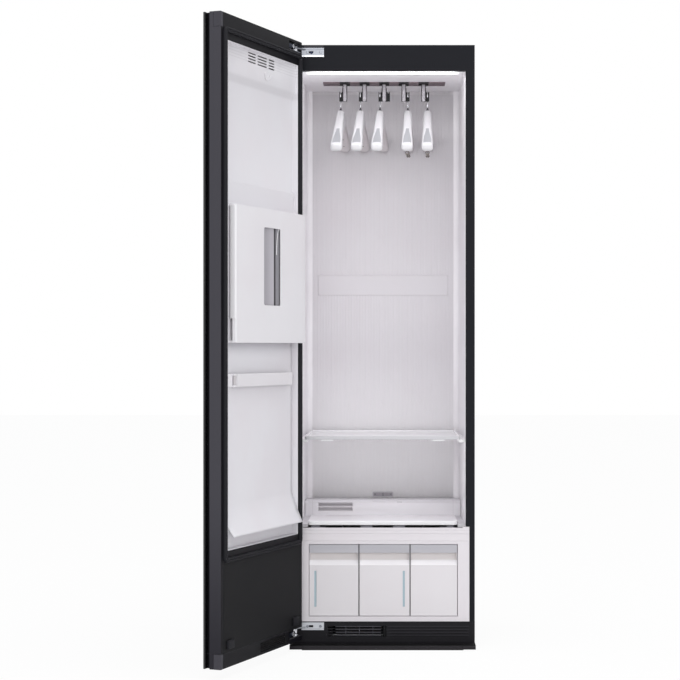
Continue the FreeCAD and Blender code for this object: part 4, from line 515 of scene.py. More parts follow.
# ---- wardrobe liner ----
# White moulded plastic with a satin skin: two side walls that turn round the back corners, a
# ribbed back wall with one smooth band, the ceiling and the floor plate. All clip together.


def satin_white(name, code, roughness=0.38, warm="d8cfd4", cloudy=0.25):
    """Light moulded plastic: satin skin, and a faint warm cloud in its colour."""
    white = Finish(name, tint(code), Specular_IOR_Level=0.4)
    cloud = white.noise(0.22, detail=3.0)
    white.paint(cloud.over(0.35, 0.75) * cloudy, warm)
    white.feed(Roughness=cloud * 0.08 + (roughness - 0.04))
    return white.relief(white.noise(0.0009, detail=1.0), 0.00003)


def sheet_mesh(rows):
    """An open sheet through rows of points, in metres."""
    wide = len(rows[0])
    mesh = bpy.data.meshes.new("sheet")
    mesh.from_pydata([spot for row in rows for spot in row], [],
                     [(r + k, r + k + 1, r + wide + k + 1, r + wide + k)
                      for r in range(0, wide * (len(rows) - 1), wide) for k in range(wide - 1)])
    return mesh


def thicken(piece, thickness, side):
    """Gives a sheet its thickness, behind it (side -1) or half on each face (side 0)."""
    worker = piece.modifiers.new("thick", "SOLIDIFY")
    worker.thickness = thickness
    worker.offset = side
    settled(piece)


FLANGE_BACK = (0.040, 0.052)

liner_white = satin_white("liner_white", "fbf9fc")
liner_white.paint(1 - liner_white.axis("Y").over(*FLANGE_BACK), "fbfbfc")
dress(liner_white, "liner_left", "liner_right", "ceiling_panel", "floor_plate")

rib_white = satin_white("rib_white", "dedbdf")
# Painted light and shade: the back wall is painted darker at its middle heights, lighter at its foot and
# towards its top, with a lighter step just under the ceiling.
up_wall = rib_white.axis("Z")
ends = (1 - up_wall.over(0.62, 1.0)) + up_wall.over(1.50, 1.75) * 0.4 + up_wall.over(1.862, 1.868) * 0.4
rib_white.paint(ends, "fbf9fb")

BAND_LOW, BAND_HIGH, BAND_SLOPE = 1.160, 1.228, 0.0015
WALL_STEPS, WALL_THICKNESS, INTO_WALL = 400, 0.0015, 0.004
HAIR = 1e-7
CREASE = 40

ripples = Pattern("ripples", pitch=0.00992, depth=0.0006, band_low=BAND_LOW, band_high=BAND_HIGH,
                  band_half=0.227, band_depth=0.004)
here = ripples.node("InputPosition", {}, {})
x_here, z_here = ripples.node("SeparateXYZ", {}, {0: here}, ("X", "Z"))
wave = x_here.reckon("COSINE", x_here * (2 * math.pi) / ripples.size["pitch"])
on_band = z_here.reckon("GREATER_THAN", z_here, ripples.size["band_low"])
on_band = on_band * z_here.reckon("LESS_THAN", z_here, ripples.size["band_high"])
on_band = on_band * x_here.reckon("LESS_THAN", abs(x_here), ripples.size["band_half"])
out = (wave * 0.5 + 0.5) * ripples.size["depth"] * (1 - on_band) + on_band * ripples.size["band_depth"]
shift = ripples.node("CombineXYZ", {}, {1: out * -1})
ripples.close(ripples.node("SetPosition", {}, {"Geometry": ripples.start, "Offset": shift}))
wall_low, wall_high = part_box("back_wall")
wall_columns = [wall_low[0] + (wall_high[0] - wall_low[0]) * k / WALL_STEPS for k in range(WALL_STEPS + 1)]
wall_levels = [wall_low[2], BAND_LOW - BAND_SLOPE, BAND_LOW + HAIR, BAND_HIGH - HAIR,
               BAND_HIGH + BAND_SLOPE, wall_high[2]]
wall_rows = [[(x, wall_low[1] + INTO_WALL, z) for x in wall_columns] for z in wall_levels]
back_sheet = ripples.make("back_wall_sheet", sheet_mesh(wall_rows), "cabinet", rib_white, "white_liner")
back_sheet.data.shade_smooth()
back_sheet.data.set_sharp_from_angle(angle=math.radians(CREASE))
thicken(back_sheet, WALL_THICKNESS, -1)
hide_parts("back_wall")

SENSOR_Z = 0.458

sensor_grey = satin_white("sensor_grey", "918d93", 0.35, warm="868288")
plate_x, plate_z = abs(sensor_grey.axis("X")), sensor_grey.axis("Z")
plate_print = plate_x.within(0.024, 0.031, 0.0005) * plate_z.near(SENSOR_Z, 0.0026, 0.0036)
plate_print = plate_print + (1 - plate_x.over(0.0022, 0.0032))
inner = (1 - plate_x.over(0.0335, 0.0345)) * plate_z.near(SENSOR_Z, 0.0062, 0.0072)
sensor_grey.paint(plate_print * 0.55, "55525a").paint(1 - inner, "c3c0c5")
eased("sensor_plate", sensor_grey, 0.0006)

# ---- ceiling lamp ----
# A frosted lens across the front of the ceiling, over a row of small lamps. It is snapped in
# from below, and glows a clean white that fades at both ends. A weaker light fills the foot.

GLOW_ENDS, GLOW_BACK = (0.225, 0.250), (0.027, 0.040)
LAMP_SPACING = 0.0125
STRIP_DEPTH = 0.012

lens = Finish("frosted_lens", tint("f6f6f6"), Roughness=0.3, Emission_Strength=4.0)
glow = 1 - abs(lens.axis("X")).over(*GLOW_ENDS)
dots = lens.axis("X").off_middle(0.0, LAMP_SPACING).over(0.0, 0.005) * 0.06
glow = glow * (1 - lens.axis("Y").over(*GLOW_BACK) * 0.8)
lens.feed(Emission_Color=lens.mix(glow - glow * dots, "6b6a6d", "ffffff"))
dress(lens, "ceiling_light")
lens_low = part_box("ceiling_light")[0]
lamp("lamp_led", (0, lens_low[1] + STRIP_DEPTH, lens_low[2] - 0.0015), (0, 0.42, 1.0), width=0.48,
     power=0.56, height=STRIP_DEPTH)
lamp("lamp_low", (0, 0.034, 0.655), (0, 0.47, 0.52), width=0.46, power=0.25, height=STRIP_DEPTH)

# ---- hooks and their slot cover ----
# Five brushed steel blades hang from one bar that shakes behind the ceiling, through a dark
# slot cover. Each carries a black cradle with a notch for a hanger's wire.

HOOK_PITCH = 0.067
FIRST_HOOK = 0.0045
CRADLE_STRETCH = 1.3
BLADE_CREASE, SLOT_FACE = (0.0014, 0.0026), (1.8712, 1.8722)
OPENING, OPENING_ENDS = (0.0165, 0.0175), (0.160, 0.162)


def brushed_steel(name, code):
    """Steel with brush lines that run up."""
    steel = Finish(name, tint(code), Metallic=0.9)
    lines = steel.noise(0.0006, (1, 1, 40), detail=3.0)
    steel.colour = steel.varied(lines, 0.8, 1.12)
    steel.feed(Base_Color=steel.colour, Roughness=lines * 0.22 + 0.28)
    return steel.relief(lines, 0.00003)


def off_hook(finish):
    """Distance to the side from the nearest hook."""
    return finish.axis("X").off_middle(FIRST_HOOK - HOOK_PITCH / 2, HOOK_PITCH)


slot_brown = satin_black("slot_brown", "74676c", 0.5)
hook_steel = brushed_steel("hook_steel", "6f6c71")
from_hook = off_hook(hook_steel)
rim_line = from_hook.over(0.0050, 0.0060) * (1 - from_hook.over(0.0082, 0.0084))
# Painted highlight: a light line along each blade's crease.
hook_steel.paint(from_hook.within(*BLADE_CREASE, 0.0005) * 0.4, "c4c2c6")
hook_steel.paint(rim_line * 0.85, "161517")
# Painted shade: above the slot cover's face the blades are painted near black.
hook_steel.paint(hook_steel.axis("Z").over(*SLOT_FACE), "050506")
cradle_black = satin_black("cradle_black", "131315", 0.45)
plain_steel = brushed_steel("plain_steel", "a9a9ab")
# Painted shade: a dark patch on the cover at each hook, where the hooks pass through.
opening = 1 - off_hook(slot_brown).over(*OPENING)
slot_brown.paint(opening * slot_brown.axis("X").near(FIRST_HOOK, *OPENING_ENDS), "1b191b")
eased("hook_slot_cover", slot_brown, 0.0006)
eased("hooks", hook_steel, 0.0005)
cradles = eased("hook_cradles", cradle_black, 0.0004)
cradle_middle = sum(end[2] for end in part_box("hook_cradles")) / 2
cradles.data.transform(Matrix.Translation((0, 0, cradle_middle * (1 - CRADLE_STRETCH)))
                       @ Matrix.Diagonal((1, 1, CRADLE_STRETCH, 1)))

# ---- hangers ----
# Five broad hangers in white moulded plastic, each with a grey grip pad let into its front
# shoulder and a nickel wire hook. The two on the right carry a clip bar with wire clips.

HANGER_TOP = 1785.0
HANGER_LOW = 1624.0
REAR_LIFT = 38.0
HOOK_LINE = 281.5
FRONT_REACH, REAR_REACH = 199, 187
NECK_RUN, TIP_RUN = 46, 26
PAD_FROM, PAD_LENGTH = 0.116, 0.070
SCREW_HOLES, HOLE_EDGE = (0.067, 0.107, 0.148), (0.0018, 0.0028)
COLLAR = ((6.2, -3), (5.0, 0), (3.0, 4), (2.4, 9), (2.0, 9.5))
CLIPS = ((-132, 30), (120, 9))
CLIP_BAR, CLIP_BAR_RISE, SPRING_STEP = (-163, 133), 34, 0.6
NECK_ASIDE, SKEW_LEFT, SKEW_RIGHT = 14, -3.2, -1.5


def loft(rings, closed=False, sharp=CREASE):
    """A skin over equal rings of points, in millimetres: closed on itself, or with flat ends."""
    shape = bmesh.new()
    made = [[shape.verts.new([c / 1000 for c in spot]) for spot in ring] for ring in rings]
    count = len(made[0])
    for near_ring, far_ring in zip(made, made[1:] + made[:1] if closed else made[1:]):
        for k in range(count):
            after = (k + 1) % count
            shape.faces.new((near_ring[k], near_ring[after], far_ring[after], far_ring[k]))
    if not closed:
        shape.faces.new(made[0][::-1])
        shape.faces.new(made[-1])
    bmesh.ops.recalc_face_normals(shape, faces=shape.faces)
    return smooth_mesh(shape, sharp)


def squircle(half_width, low, high):
    """A rounded cross section, as pairs of width and height."""
    power, count = 0.62, 16
    middle, half = (low + high) / 2, (high - low) / 2
    turns = [2 * math.pi * (k + 0.5) / count for k in range(count)]
    return [(half_width * math.copysign(abs(math.cos(t)) ** power, math.cos(t)),
             middle + half * math.copysign(abs(math.sin(t)) ** power, math.sin(t))) for t in turns]


def arm_sections(reach, end):
    """Distance from the neck, top, bottom and half width along one arm, from the neck out."""
    crown, under, slope = HANGER_TOP - 26, HANGER_TOP - 60, end + 42
    rows = [(7, HANGER_TOP - 0.4, under, 13.6), (15, HANGER_TOP - 3.5, under, 13.7),
            (28, HANGER_TOP - 12, under, 13.8), (NECK_RUN, crown, under - 3, 14.0)]
    for share in (0.25, 0.5, 0.75):
        along = NECK_RUN + (reach - TIP_RUN - NECK_RUN) * share
        bottom = under - (under - end - 14) * (along - 40) / (reach - 34 - 40)
        rows.append((along, crown + (slope - crown) * share, bottom, 14.0 + 5.6 * share ** 1.5))
    rows += [(reach - TIP_RUN, slope, end + 9, 19.3), (reach - 14, end + 34, end + 0.8, 20),
             (reach - 7, end + 28, end - 0.2, 19.6), (reach - 2.5, end + 23, end + 2.5, 16.5),
             (reach - 0.4, end + 18, end + 7, 11)]
    return rows


def hanger_skin():
    """The moulded body, made about its own neck, with a note of each point's own place."""
    rows = [(-along, *rest) for along, *rest in arm_sections(FRONT_REACH, HANGER_LOW)[::-1]]
    rows += arm_sections(REAR_REACH, HANGER_LOW + REAR_LIFT)
    rings = [[(u, along, v) for u, v in squircle(half, low, top)] for along, top, low, half in rows]
    mesh = loft(rings, sharp=180)
    note = mesh.attributes.new("own_place", "FLOAT_VECTOR", "POINT")
    for vertex in mesh.vertices:
        note.data[vertex.index].vector = vertex.co
    return mesh


def padded_white():
    """Hanger white, with the pad's teardrop in front, three screw holes under the back and painted shade on
    the rear arm.
    """
    white = satin_white("hanger_white", "d9d8db", 0.34, cloudy=0.05)
    own = white.node("Attribute", {"attribute_name": "own_place"}, {}, "Vector")
    aside, along, high = white.node("SeparateXYZ", {}, {0: own}, ("X", "Y", "Z"))
    forward = 0 - along
    pad_edge = 0.0068 + ((forward - PAD_FROM) / PAD_LENGTH).over(0.0, 0.95) * 0.0076
    pad = (pad_edge - abs(aside)).over(0.0, 0.0012) * forward.within(0.114, 0.189, 0.0015)
    pad = pad * (high + forward * 0.72).over(1.762, 1.766)
    holes = sum(along.near(place, *HOLE_EDGE) for place in SCREW_HOLES)
    holes = holes * aside.near(-0.0015, *HOLE_EDGE) * (1 - (high + along * 0.43).over(1.755, 1.765))
    # Painted shade: the rear arm is painted a darker beige.
    white.paint(along.over(0.02, 0.06) * 0.55, "c9bfc0")
    white.paint(pad, "a4a5aa").paint(holes * 0.8, "4a4346")
    return white.relief(pad * -1 + white.noise(0.0009) * 0.05, 0.0006)


TUBE_SIDES = 10

tube = Pattern("tube", radius=0.0017)
ring = tube.node("CurvePrimitiveCircle", {"mode": "RADIUS"},
                 {"Resolution": TUBE_SIDES, "Radius": tube.size["radius"]})
line = tube.node("MeshToCurve", {}, {0: tube.start})
tube.close(tube.node("CurveToMesh", {}, {0: line, 1: ring, "Fill Caps": True}))


def path_mesh(*paths):
    """A mesh of bare edges that follows each path, in millimetres."""
    mesh = bpy.data.meshes.new("path")
    spots, edges = [], []
    for path in paths:
        edges += [(len(spots) + k, len(spots) + k + 1) for k in range(len(path) - 1)]
        spots += [tuple(c / 1000 for c in spot) for spot in path]
    mesh.from_pydata(spots, edges, [])
    return mesh


def turned(profile, sides=24):
    """A solid of revolution about Z from radius and height pairs, in millimetres."""
    turns = [2 * math.pi * k / sides for k in range(sides)]
    return loft([[(radius * math.cos(t), radius * math.sin(t), height) for t in turns]
                 for radius, height in profile])


def clip_rods(level):
    """Paths of the clip bar, and of the legs and the spring of its clips, in millimetres."""
    first, last = CLIP_BAR
    rods = [[(0, first, level), (0, last, level), (0, last, level + CLIP_BAR_RISE)]]
    for place, drop in CLIPS:
        rods += [[(side * 6, place - 6, level + 3), (-side * 5, place, level - drop * 0.3),
                  (side * 6.5, place + 3, level - drop * 0.65), (side * 2, place + 6, level - drop)]
                 for side in (-1, 1)]
        rods.append([(5 * math.cos(k * SPRING_STEP), place + k * 0.3 - 5,
                      level - drop * 0.4 + 4 * math.sin(k * SPRING_STEP)) for k in range(24)])
    return rods


LOOP_Z, LOOP, BEND, SHANK = 1832.237, 12.0, 10.0, 30.0
LOOP_END = math.radians(200)
lean = math.asin(LOOP / SHANK)
bend_z = LOOP_Z - SHANK - BEND * math.tan(lean / 2)
wire_path = [(0, 0, HANGER_TOP - 7), (0, 0, bend_z)]
wire_path += [(0, BEND - BEND * math.cos(lean * k / 4), bend_z + BEND * math.sin(lean * k / 4))
              for k in range(1, 5)]
wire_path += [(0, LOOP * math.cos(t), LOOP_Z + LOOP * math.sin(t))
              for t in [(LOOP_END + lean) * k / 20 - lean for k in range(21)]]


def nickel(name, code, roughness):
    """Nickel plate, a little cloudy."""
    plate = Finish(name, tint(code), Metallic=1.0)
    cloud = plate.noise(0.012, detail=3.0)
    plate.colour = plate.varied(cloud, 0.88, 1.06)
    plate.feed(Base_Color=plate.colour, Roughness=cloud * 0.18 + (roughness - 0.09))
    return plate.relief(plate.noise(0.0008), 0.00002)


hanger_white = padded_white()
wire_nickel = Finish("wire_nickel", tint("cfd0d5"), Metallic=0.45, Roughness=0.25)
wire_nickel.paint(wire_nickel.noise(0.0006, (1, 1, 20)), "ececf0")
clip_steel = nickel("clip_steel", "8d8682", 0.3)
collar_grey = satin_black("collar_grey", "57545a", 0.45)
for number in range(1, 6):
    right = number > 3
    name = "hanger_%d" % number
    neck = (FIRST_HOOK + (number - 3) * HOOK_PITCH) * 1000 + (NECK_ASIDE if right else -NECK_ASIDE)
    hang = (Matrix.Translation((neck / 1000, HOOK_LINE / 1000, 0))
            @ Matrix.Rotation(math.radians(SKEW_RIGHT if right else SKEW_LEFT), 4, "Z"))
    shell = place_piece(name + "_body", hanger_skin(), name, hanger_white, hang)
    rounding = shell.modifiers.new("rounding", "SUBSURF")
    rounding.levels = rounding.render_levels = 2
    settled(shell)
    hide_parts(name)
    tube.make(name + "_wire", path_mesh(wire_path), name, wire_nickel, "hook_steel", hang, radius=0.00175)
    collar = turned([(radius, HANGER_TOP + up) for radius, up in COLLAR], 16)
    place_piece(name + "_collar", collar, name, collar_grey, hang)
    if right:
        clip_bar = HANGER_LOW + 22
        tube.make(name + "_clips", path_mesh(*clip_rods(clip_bar)), name, clip_steel, "hook_steel", hang,
                  radius=0.0013)
        jaws = marks([(side * 3.4, CLIPS[0][0], clip_bar - 28) for side in (-1, 1)])
        bars.make(name + "_jaws", jaws, name, clip_steel, "hook_steel", hang, count=2,
                  step=(0.0, 0.0, 0.0032), bar=(0.0042, 0.016, 0.0026))

# ---- steam bench and intake ----
# A white box across the back of the floor, with the steam outlets on top and a return grille
# in its face; under the floor plate's edge is a dark intake.

VENT_X, VENT_Z, VENT_PITCH = (-0.222, -0.105), (0.4155, 0.4430), 0.0092
BENCH_SEAM = 0.241
PRINTS = ((0.048, 0.066, 0.4432, 0.4452, 0.0006, 0.7), (-0.036, 0.010, 0.4448, 0.4456, 0.0003, 0.5),
          (0.078, 0.122, 0.4440, 0.4447, 0.0003, 0.3))
POST_SPANS = ((0.034, 0.073), (0.187, 0.235), (0.130, 0.132))
POST_GREY = "8d8c92"


def on_posts(finish):
    """1 on the posts that stand behind the front frame, alike on both sides of the middle."""
    return sum(abs(finish.axis("X")).within(*span) for span in POST_SPANS)


bench_white = satin_white("bench_white", "d8d6da")
over_bench, up_bench = bench_white.axis("X"), bench_white.axis("Z")
vent = over_bench.within(*VENT_X) * up_bench.within(*VENT_Z)
vent = vent * (0.35 + up_bench.off_middle(VENT_Z[0], VENT_PITCH).over(0.0012, 0.0030) * 0.5)
bench_print = sum(over_bench.within(left, right) * up_bench.within(low, high, soft) * share
                  for left, right, low, high, soft, share in PRINTS)
bench_white.paint(abs(over_bench).near(BENCH_SEAM, 0.0004, 0.0012), "c9c6ca")
bench_white.paint(bench_print, "8f8b90").paint(vent, "9f999e")
eased("steam_bench", bench_white, 0.0012)
intake_dark = satin_black("intake_dark", "121214", 0.5)
intake_dark.paint(on_posts(intake_dark), POST_GREY)
dress(intake_dark, "intake_grille")

# ---- shelf ----
# A pull-out shelf in clear white plastic, moulded in one piece with a raised rim. It slides on
# the liner's ledges.

SHELF_EDGE = (0.0165, 0.0180)

shelf_white = satin_white("shelf_white", "fbfbfd", 0.25)
# Painted shade: the shelf's front edge is painted darker than its top.
shelf_white.paint(1 - shelf_white.axis("Y").over(*SHELF_EDGE), "c2c1c5")
eased("shelf", shelf_white, 0.0012)

# ---- white lower frame and drawers ----
# A white moulded frame round two water tanks and a filter case. Each drawer front has a grey
# bar over its finger recess, and the tanks have a level window.

LEDGE_ENDS, LEDGE_TOP, LEDGE_FRONT = (0.258, 0.262), (0.3862, 0.3868), (0.0012, 0.0022)
LIP, RECESS, RECESS_BACK, BAR_FROM = (0.2655, 0.2812), (0.2815, 0.3050), (0.006, 0.009), (0.3055, 0.3061)

frame_white = satin_white("frame_white", "dbd7db", 0.36)
# Painted shadow: the frame's top face behind its front edge is painted dark, with the posts painted grey
# across it.
ledge_shade = (1 - abs(frame_white.axis("X")).over(*LEDGE_ENDS)) * frame_white.axis("Z").over(*LEDGE_TOP)
ledge_shade = ledge_shade * frame_white.axis("Y").over(*LEDGE_FRONT)
frame_white.paint(ledge_shade, frame_white.mix(on_posts(frame_white), "242326", POST_GREY))
front_white = satin_white("front_white", "dcd9dc", 0.36)
up_front = front_white.axis("Z")
# Painted shade in the finger recesses, and a painted highlight on the lip under them.
recess_shade = up_front.within(*RECESS, 0.0008) * front_white.axis("Y").over(*RECESS_BACK)
seam_lines = sum(front_white.axis("X").near(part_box(front)[1][0] + 0.001, 0.0016, 0.0024)
                 for front in ("supply_tank_front", "drain_tank_front"))
front_white.paint(recess_shade * 0.8, "c9c3c2").paint(up_front.within(*LIP, 0.0010), "efedf0")
front_white.paint(up_front.over(*BAR_FROM), "b3b2b8").paint(seam_lines * 0.8, "2f2c2d")
tank_blue = satin_white("tank_blue", "a9bcc5", 0.25, warm="93a9b6")
bay_black = satin_black("bay_black", "1c1c1e", 0.6)
eased("lower_front_frame", frame_white, 0.0008)
for front in ("supply_tank_front", "drain_tank_front", "filter_case_front"):
    eased(front, front_white, 0.0008)
dress(tank_blue, "supply_tank", "drain_tank", "filter_case")
dress(bay_black, "tank_bay")

# ---- hinges ----
# An upper and a lower steel plate on the front frame, each with an arm, a link and a strap in
# the door. Nickel-plated, with two screws a plate and a blued bush in the upper one.

LINK_FEET = (0.0483, 1.9283)
LEAF_RISE, LEAF_SHARE = 0.0150, 0.5
UPPER_LIP, GROOVES = (1.9200, 1.9252), ((1.9436, 1.9450), (0.0585, 0.0598))

plate_nickel = nickel("plate_nickel", "9a9da4", 0.4)
up_plate = plate_nickel.axis("Z")
# Painted highlights on the upper plate's lip and over the lower plate, and painted shade in the grooves.
lip_highlights = up_plate.within(*UPPER_LIP) * 0.9 + (1 - up_plate.over(0.5, 0.6)) * 0.35
groove_shade = sum(up_plate.within(*groove, 0.0004) for groove in GROOVES)
plate_nickel.paint(lip_highlights, "eceef2").paint(groove_shade * 0.6, "5a5d64")
link_nickel = nickel("link_nickel", "cfd0d4", 0.2)
bush_blue = nickel("bush_blue", "2c3142", 0.4)
screw_nickel = nickel("screw_nickel", "8a8d94", 0.3)
eased("hinge_plates", plate_nickel, 0.0006)
eased("hinge_links", link_nickel, 0.0008)
dress(link_nickel, "door_hinge_brackets")
heads = [(x, -4.6, z) for x in (-244.5, -202.5) for z in (1935.5, 67.5)]
hinge_screws = screws.make("hinge_screw_heads", marks(heads, (0, -1, 0)), "cabinet", screw_nickel,
                           "chrome_link", head=0.0046, height=0.0016, drive=0.5)
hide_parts("hinge_screws")
leaves = own_shape("hinge_links")
for vertex in leaves.verts:
    foot = LINK_FEET[vertex.co.z > 1]
    vertex.co.z = foot + LEAF_RISE + (vertex.co.z - foot) * LEAF_SHARE
leaf_mesh = smooth_mesh(leaves)
leaf_mesh.shade_flat()
place_piece("hinge_leaves", leaf_mesh, "hinge_linkage", plate_nickel)
screws.make("hinge_bushes", marks([(-232, -3.6, 1934.5)], (0, -1, 0)), "cabinet", bush_blue, "chrome_link",
            head=0.0048, height=0.0012, drive=0.7)

# ---- door frame, glass and gasket ----
# The door: a charcoal frame with a finger channel down its free edge, a black glass sheet
# bonded to its outer face, corner caps, and a rubber gasket with a hollow lip.

DOOR_CORNER = (-0.260765, -0.043871, 0.0)
DOOR_ANGLE = math.radians(-111)
CAP_SEAM, FREE_FACE = (0.0734, 0.0746), (0.5885, 0.5890)
POCKETS, POCKET_END, POCKET_SOFT = ((0.04525, 0.07175), (1.92525, 1.95175)), (0.0996, 0.0999), 0.00015
door_place = Matrix.Translation(DOOR_CORNER) @ Matrix.Rotation(DOOR_ANGLE, 4, "Z")


def on_door(finish):
    """The finish, whose readings from here on are taken along the door's own axes."""
    finish.at = finish.node("Mapping", {"vector_type": "TEXTURE"},
                            {"Vector": finish.at, "Location": DOOR_CORNER, "Rotation": (0, 0, DOOR_ANGLE)})
    return finish


door_charcoal = on_door(satin_black("door_charcoal", "0b0a10", 0.5))
along_frame, up_frame = door_charcoal.axis("X"), door_charcoal.axis("Z")
cap_seam = up_frame.within(*CAP_SEAM, 0.0003) * along_frame.over(0.10, 0.12)
# Painted shade: the hinge pockets in the frame are painted near black.
pocket_shade = sum(up_frame.within(*span, POCKET_SOFT) for span in POCKETS)
pocket_shade = pocket_shade * (1 - along_frame.over(*POCKET_END))
pocket_shade = pocket_shade * (1 - door_charcoal.axis("Y").over(-0.0012, -0.0006))
# Painted light: the free edge's face is painted lighter than the frame, darkest at its foot.
free_edge_shading = door_charcoal.mix(up_frame.over(0.0, 0.6), "26252b", "403f45")
door_charcoal.paint(cap_seam * 0.5, "4a4950").paint(along_frame.over(*FREE_FACE), free_edge_shading)
door_charcoal.paint(pocket_shade, "030304")
door_glass = Finish("door_glass", tint("0e0e10"), Coat_Weight=0.3, Coat_Roughness=0.03)
door_glass.feed(Roughness=door_glass.noise(0.3) * 0.05 + 0.04)
cap_grey = satin_black("cap_grey", "3e3d43", 0.5)
gasket_rubber = satin_black("gasket_rubber", "202024", 0.6, 0.00008)
eased("door_frame", door_charcoal, 0.0008)
eased("door_glass", door_glass, 0.0012)
eased("door_end_caps", cap_grey, 0.0006)

GASKET_SECTION = ((0.0, 0.0), (0.2, 5.2), (1.2, 7.4), (3.0, 8.6), (5.4, 8.6), (6.6, 7.6), (6.9, 6.3),
                  (7.7, 6.0), (8.2, 6.4), (8.6, 7.6), (9.8, 8.5), (12.0, 8.4), (13.8, 7.2), (14.8, 5.0),
                  (15.0, 0.0))
GASKET_CORNERS = ((555.5, 1902.5), (28.5, 1902.5), (28.5, 357.5), (555.5, 357.5))
GASKET_RADIUS = 16.5
CORNER_STEPS = 4
CORNER_LEAD = 5.0
EYE_PROFILE = ((2.4, 0), (6.6, 0), (6.6, 2.2), (5.4, 3.0), (3.4, 3.0), (2.4, 2.2))
STRAP_HEIGHT = 14


def gasket_loop(radius, depth):
    """A rounded rectangle about the gasket's corners, in the door's own axes, at one depth."""
    spots = []
    for quarter, (corner_x, corner_z) in enumerate(GASKET_CORNERS):
        for k in range(-1, CORNER_STEPS + 2):
            turn = math.radians(90 * (quarter + min(max(k, 0), CORNER_STEPS) / CORNER_STEPS))
            lead = CORNER_LEAD * (min(k, 0) + max(k - CORNER_STEPS, 0))
            spots.append((corner_x + radius * math.cos(turn) - lead * math.sin(turn), depth,
                          corner_z + radius * math.sin(turn) + lead * math.cos(turn)))
    return spots


def slab(low, high):
    """A plain plate between two corners, in millimetres."""
    return loft([[(low[0], depth, low[2]), (high[0], depth, low[2]), (high[0], depth, high[2]),
                  (low[0], depth, high[2])] for depth in (low[1], high[1])])


gasket_loops = [gasket_loop(GASKET_RADIUS - inset, height) for inset, height in GASKET_SECTION]
gasket = place_piece("door_gasket_lip", loft(gasket_loops, closed=True, sharp=50), "door", gasket_rubber,
                     door_place)
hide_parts("door_gasket")

for name, low in (("upper", 1931.0), ("lower", 51.0)):
    strap = slab((50, -7.6, low), (97, -3.0, low + STRAP_HEIGHT))
    place_piece("hinge_strap_" + name, strap, "door", bush_blue, door_place)
    eye_middle = Matrix.Translation((0.064, -0.0032, (low + STRAP_HEIGHT / 2) / 1000))
    place_piece("hinge_eye_" + name, turned(EYE_PROFILE), "door", link_nickel,
                door_place @ eye_middle @ Matrix.Rotation(-math.pi / 2, 4, "X"))

# ---- door liner ----
# A vacuum-formed white tray in the door, stepped at its header and its band, with three groups
# of air slots, fine grooves beside them, one small hook and a latch.

SLOTS_X, SLOT_MIDDLE, SLOT_PITCH = (0.186, 0.383), 1.844, 0.0089
LINES_Z, HEADER_STEP, TRAY_EDGE, TRAY_Z = (1.838, 1.877), (1.770, 1.792), (0.0415, 0.0425), (1.399, 1.468)

door_white = on_door(satin_white("door_white", "dcdbdf", 0.36))
along_door, up_door = door_white.axis("X"), door_white.axis("Z")
# Painted shade: the fine grooves beside the slots are painted as darker lines.
groove_shade_lines = 1 - up_door.off_middle(SLOT_MIDDLE - SLOT_PITCH / 2, SLOT_PITCH).over(0.0006, 0.0014)
groove_shade_lines = groove_shade_lines * up_door.within(*LINES_Z) * (1 - along_door.within(*SLOTS_X, 0.001))
# Painted shade in the air slots, under the header step and along the band's edge.
slot_shade = (1 - door_white.axis("Y").over(-0.0165, -0.0115)) * up_door.over(1.835, 1.840)
step_shade = up_door.within(*HEADER_STEP, 0.006) * 0.35
step_shade = step_shade + along_door.within(*TRAY_EDGE, 0.0003) * up_door.within(*TRAY_Z) * 0.5
door_white.paint(groove_shade_lines * 0.35, "b9b6ba").paint(step_shade, "bab8bc")
door_white.paint(slot_shade, "3a3739")
eased("door_liner", door_white, 0.0016)
board_white = satin_white("board_white", "eae8ec", 0.4)
dress(board_white, "press_board")
hook_path = [(262, -9.5, 1826), (262, -7.5, 1818), (262, -6.5, 1809), (262, -4, 1804.5), (262, 0, 1803),
             (262, 4.5, 1805), (262, 7.5, 1810), (262, 8.6, 1817)]
trouser_hook = tube.make("trouser_hook_arm", path_mesh(hook_path), "door", hanger_white, "hanger_plastic",
                         door_place, radius=0.0019)
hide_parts("trouser_hook")


def rounded_box(low, high, radius):
    """A block with rounded edges between two corners, in millimetres."""
    shape = bmesh.new()
    bmesh.ops.create_cube(shape, size=1.0)
    for vertex in shape.verts:
        vertex.co = [(a + b + (b - a) * c * 2) / 2000 for a, b, c in zip(low, high, vertex.co)]
    bmesh.ops.bevel(shape, geom=shape.edges[:], offset=radius / 1000, segments=3, affect="EDGES",
                    profile=0.5)
    return smooth_mesh(shape)


latch = rounded_box((35, -14, 1451), (41, -9.5, 1470), 1.6)
place_piece("door_latch", latch, "door", door_white, door_place)

# ---- press cover and bar ----
# A white cover over the trouser press, hinged on its free side, with a tall window onto a grey
# tray and a steam pipe, and below it a narrow bar that swings out of the film's way.

KNUCKLE, WINDOW_SLIT = (0.4775, 0.4785), (0.2450, 0.2570)
PIPE_DEPTH = 19.4
PIPE_BENDS = ((226, 1343), (232, 1330), (237, 1305), (240, 1282), (241, 1262))

press_white = satin_white("press_white", "e2e1e4", 0.34)
eased("press_case", press_white, 0.0010)
bar_white = on_door(satin_white("bar_white", "e0dfe2", 0.36))
# Painted shade: the bar's knuckle is painted a darker grey-beige.
bar_white.paint(bar_white.axis("X").over(*KNUCKLE), "c4c0c3")
eased("press_bar", bar_white, 0.0003, 1)
window_grey = on_door(satin_black("window_grey", "8c8a90", 0.35))
along_window = window_grey.axis("X")
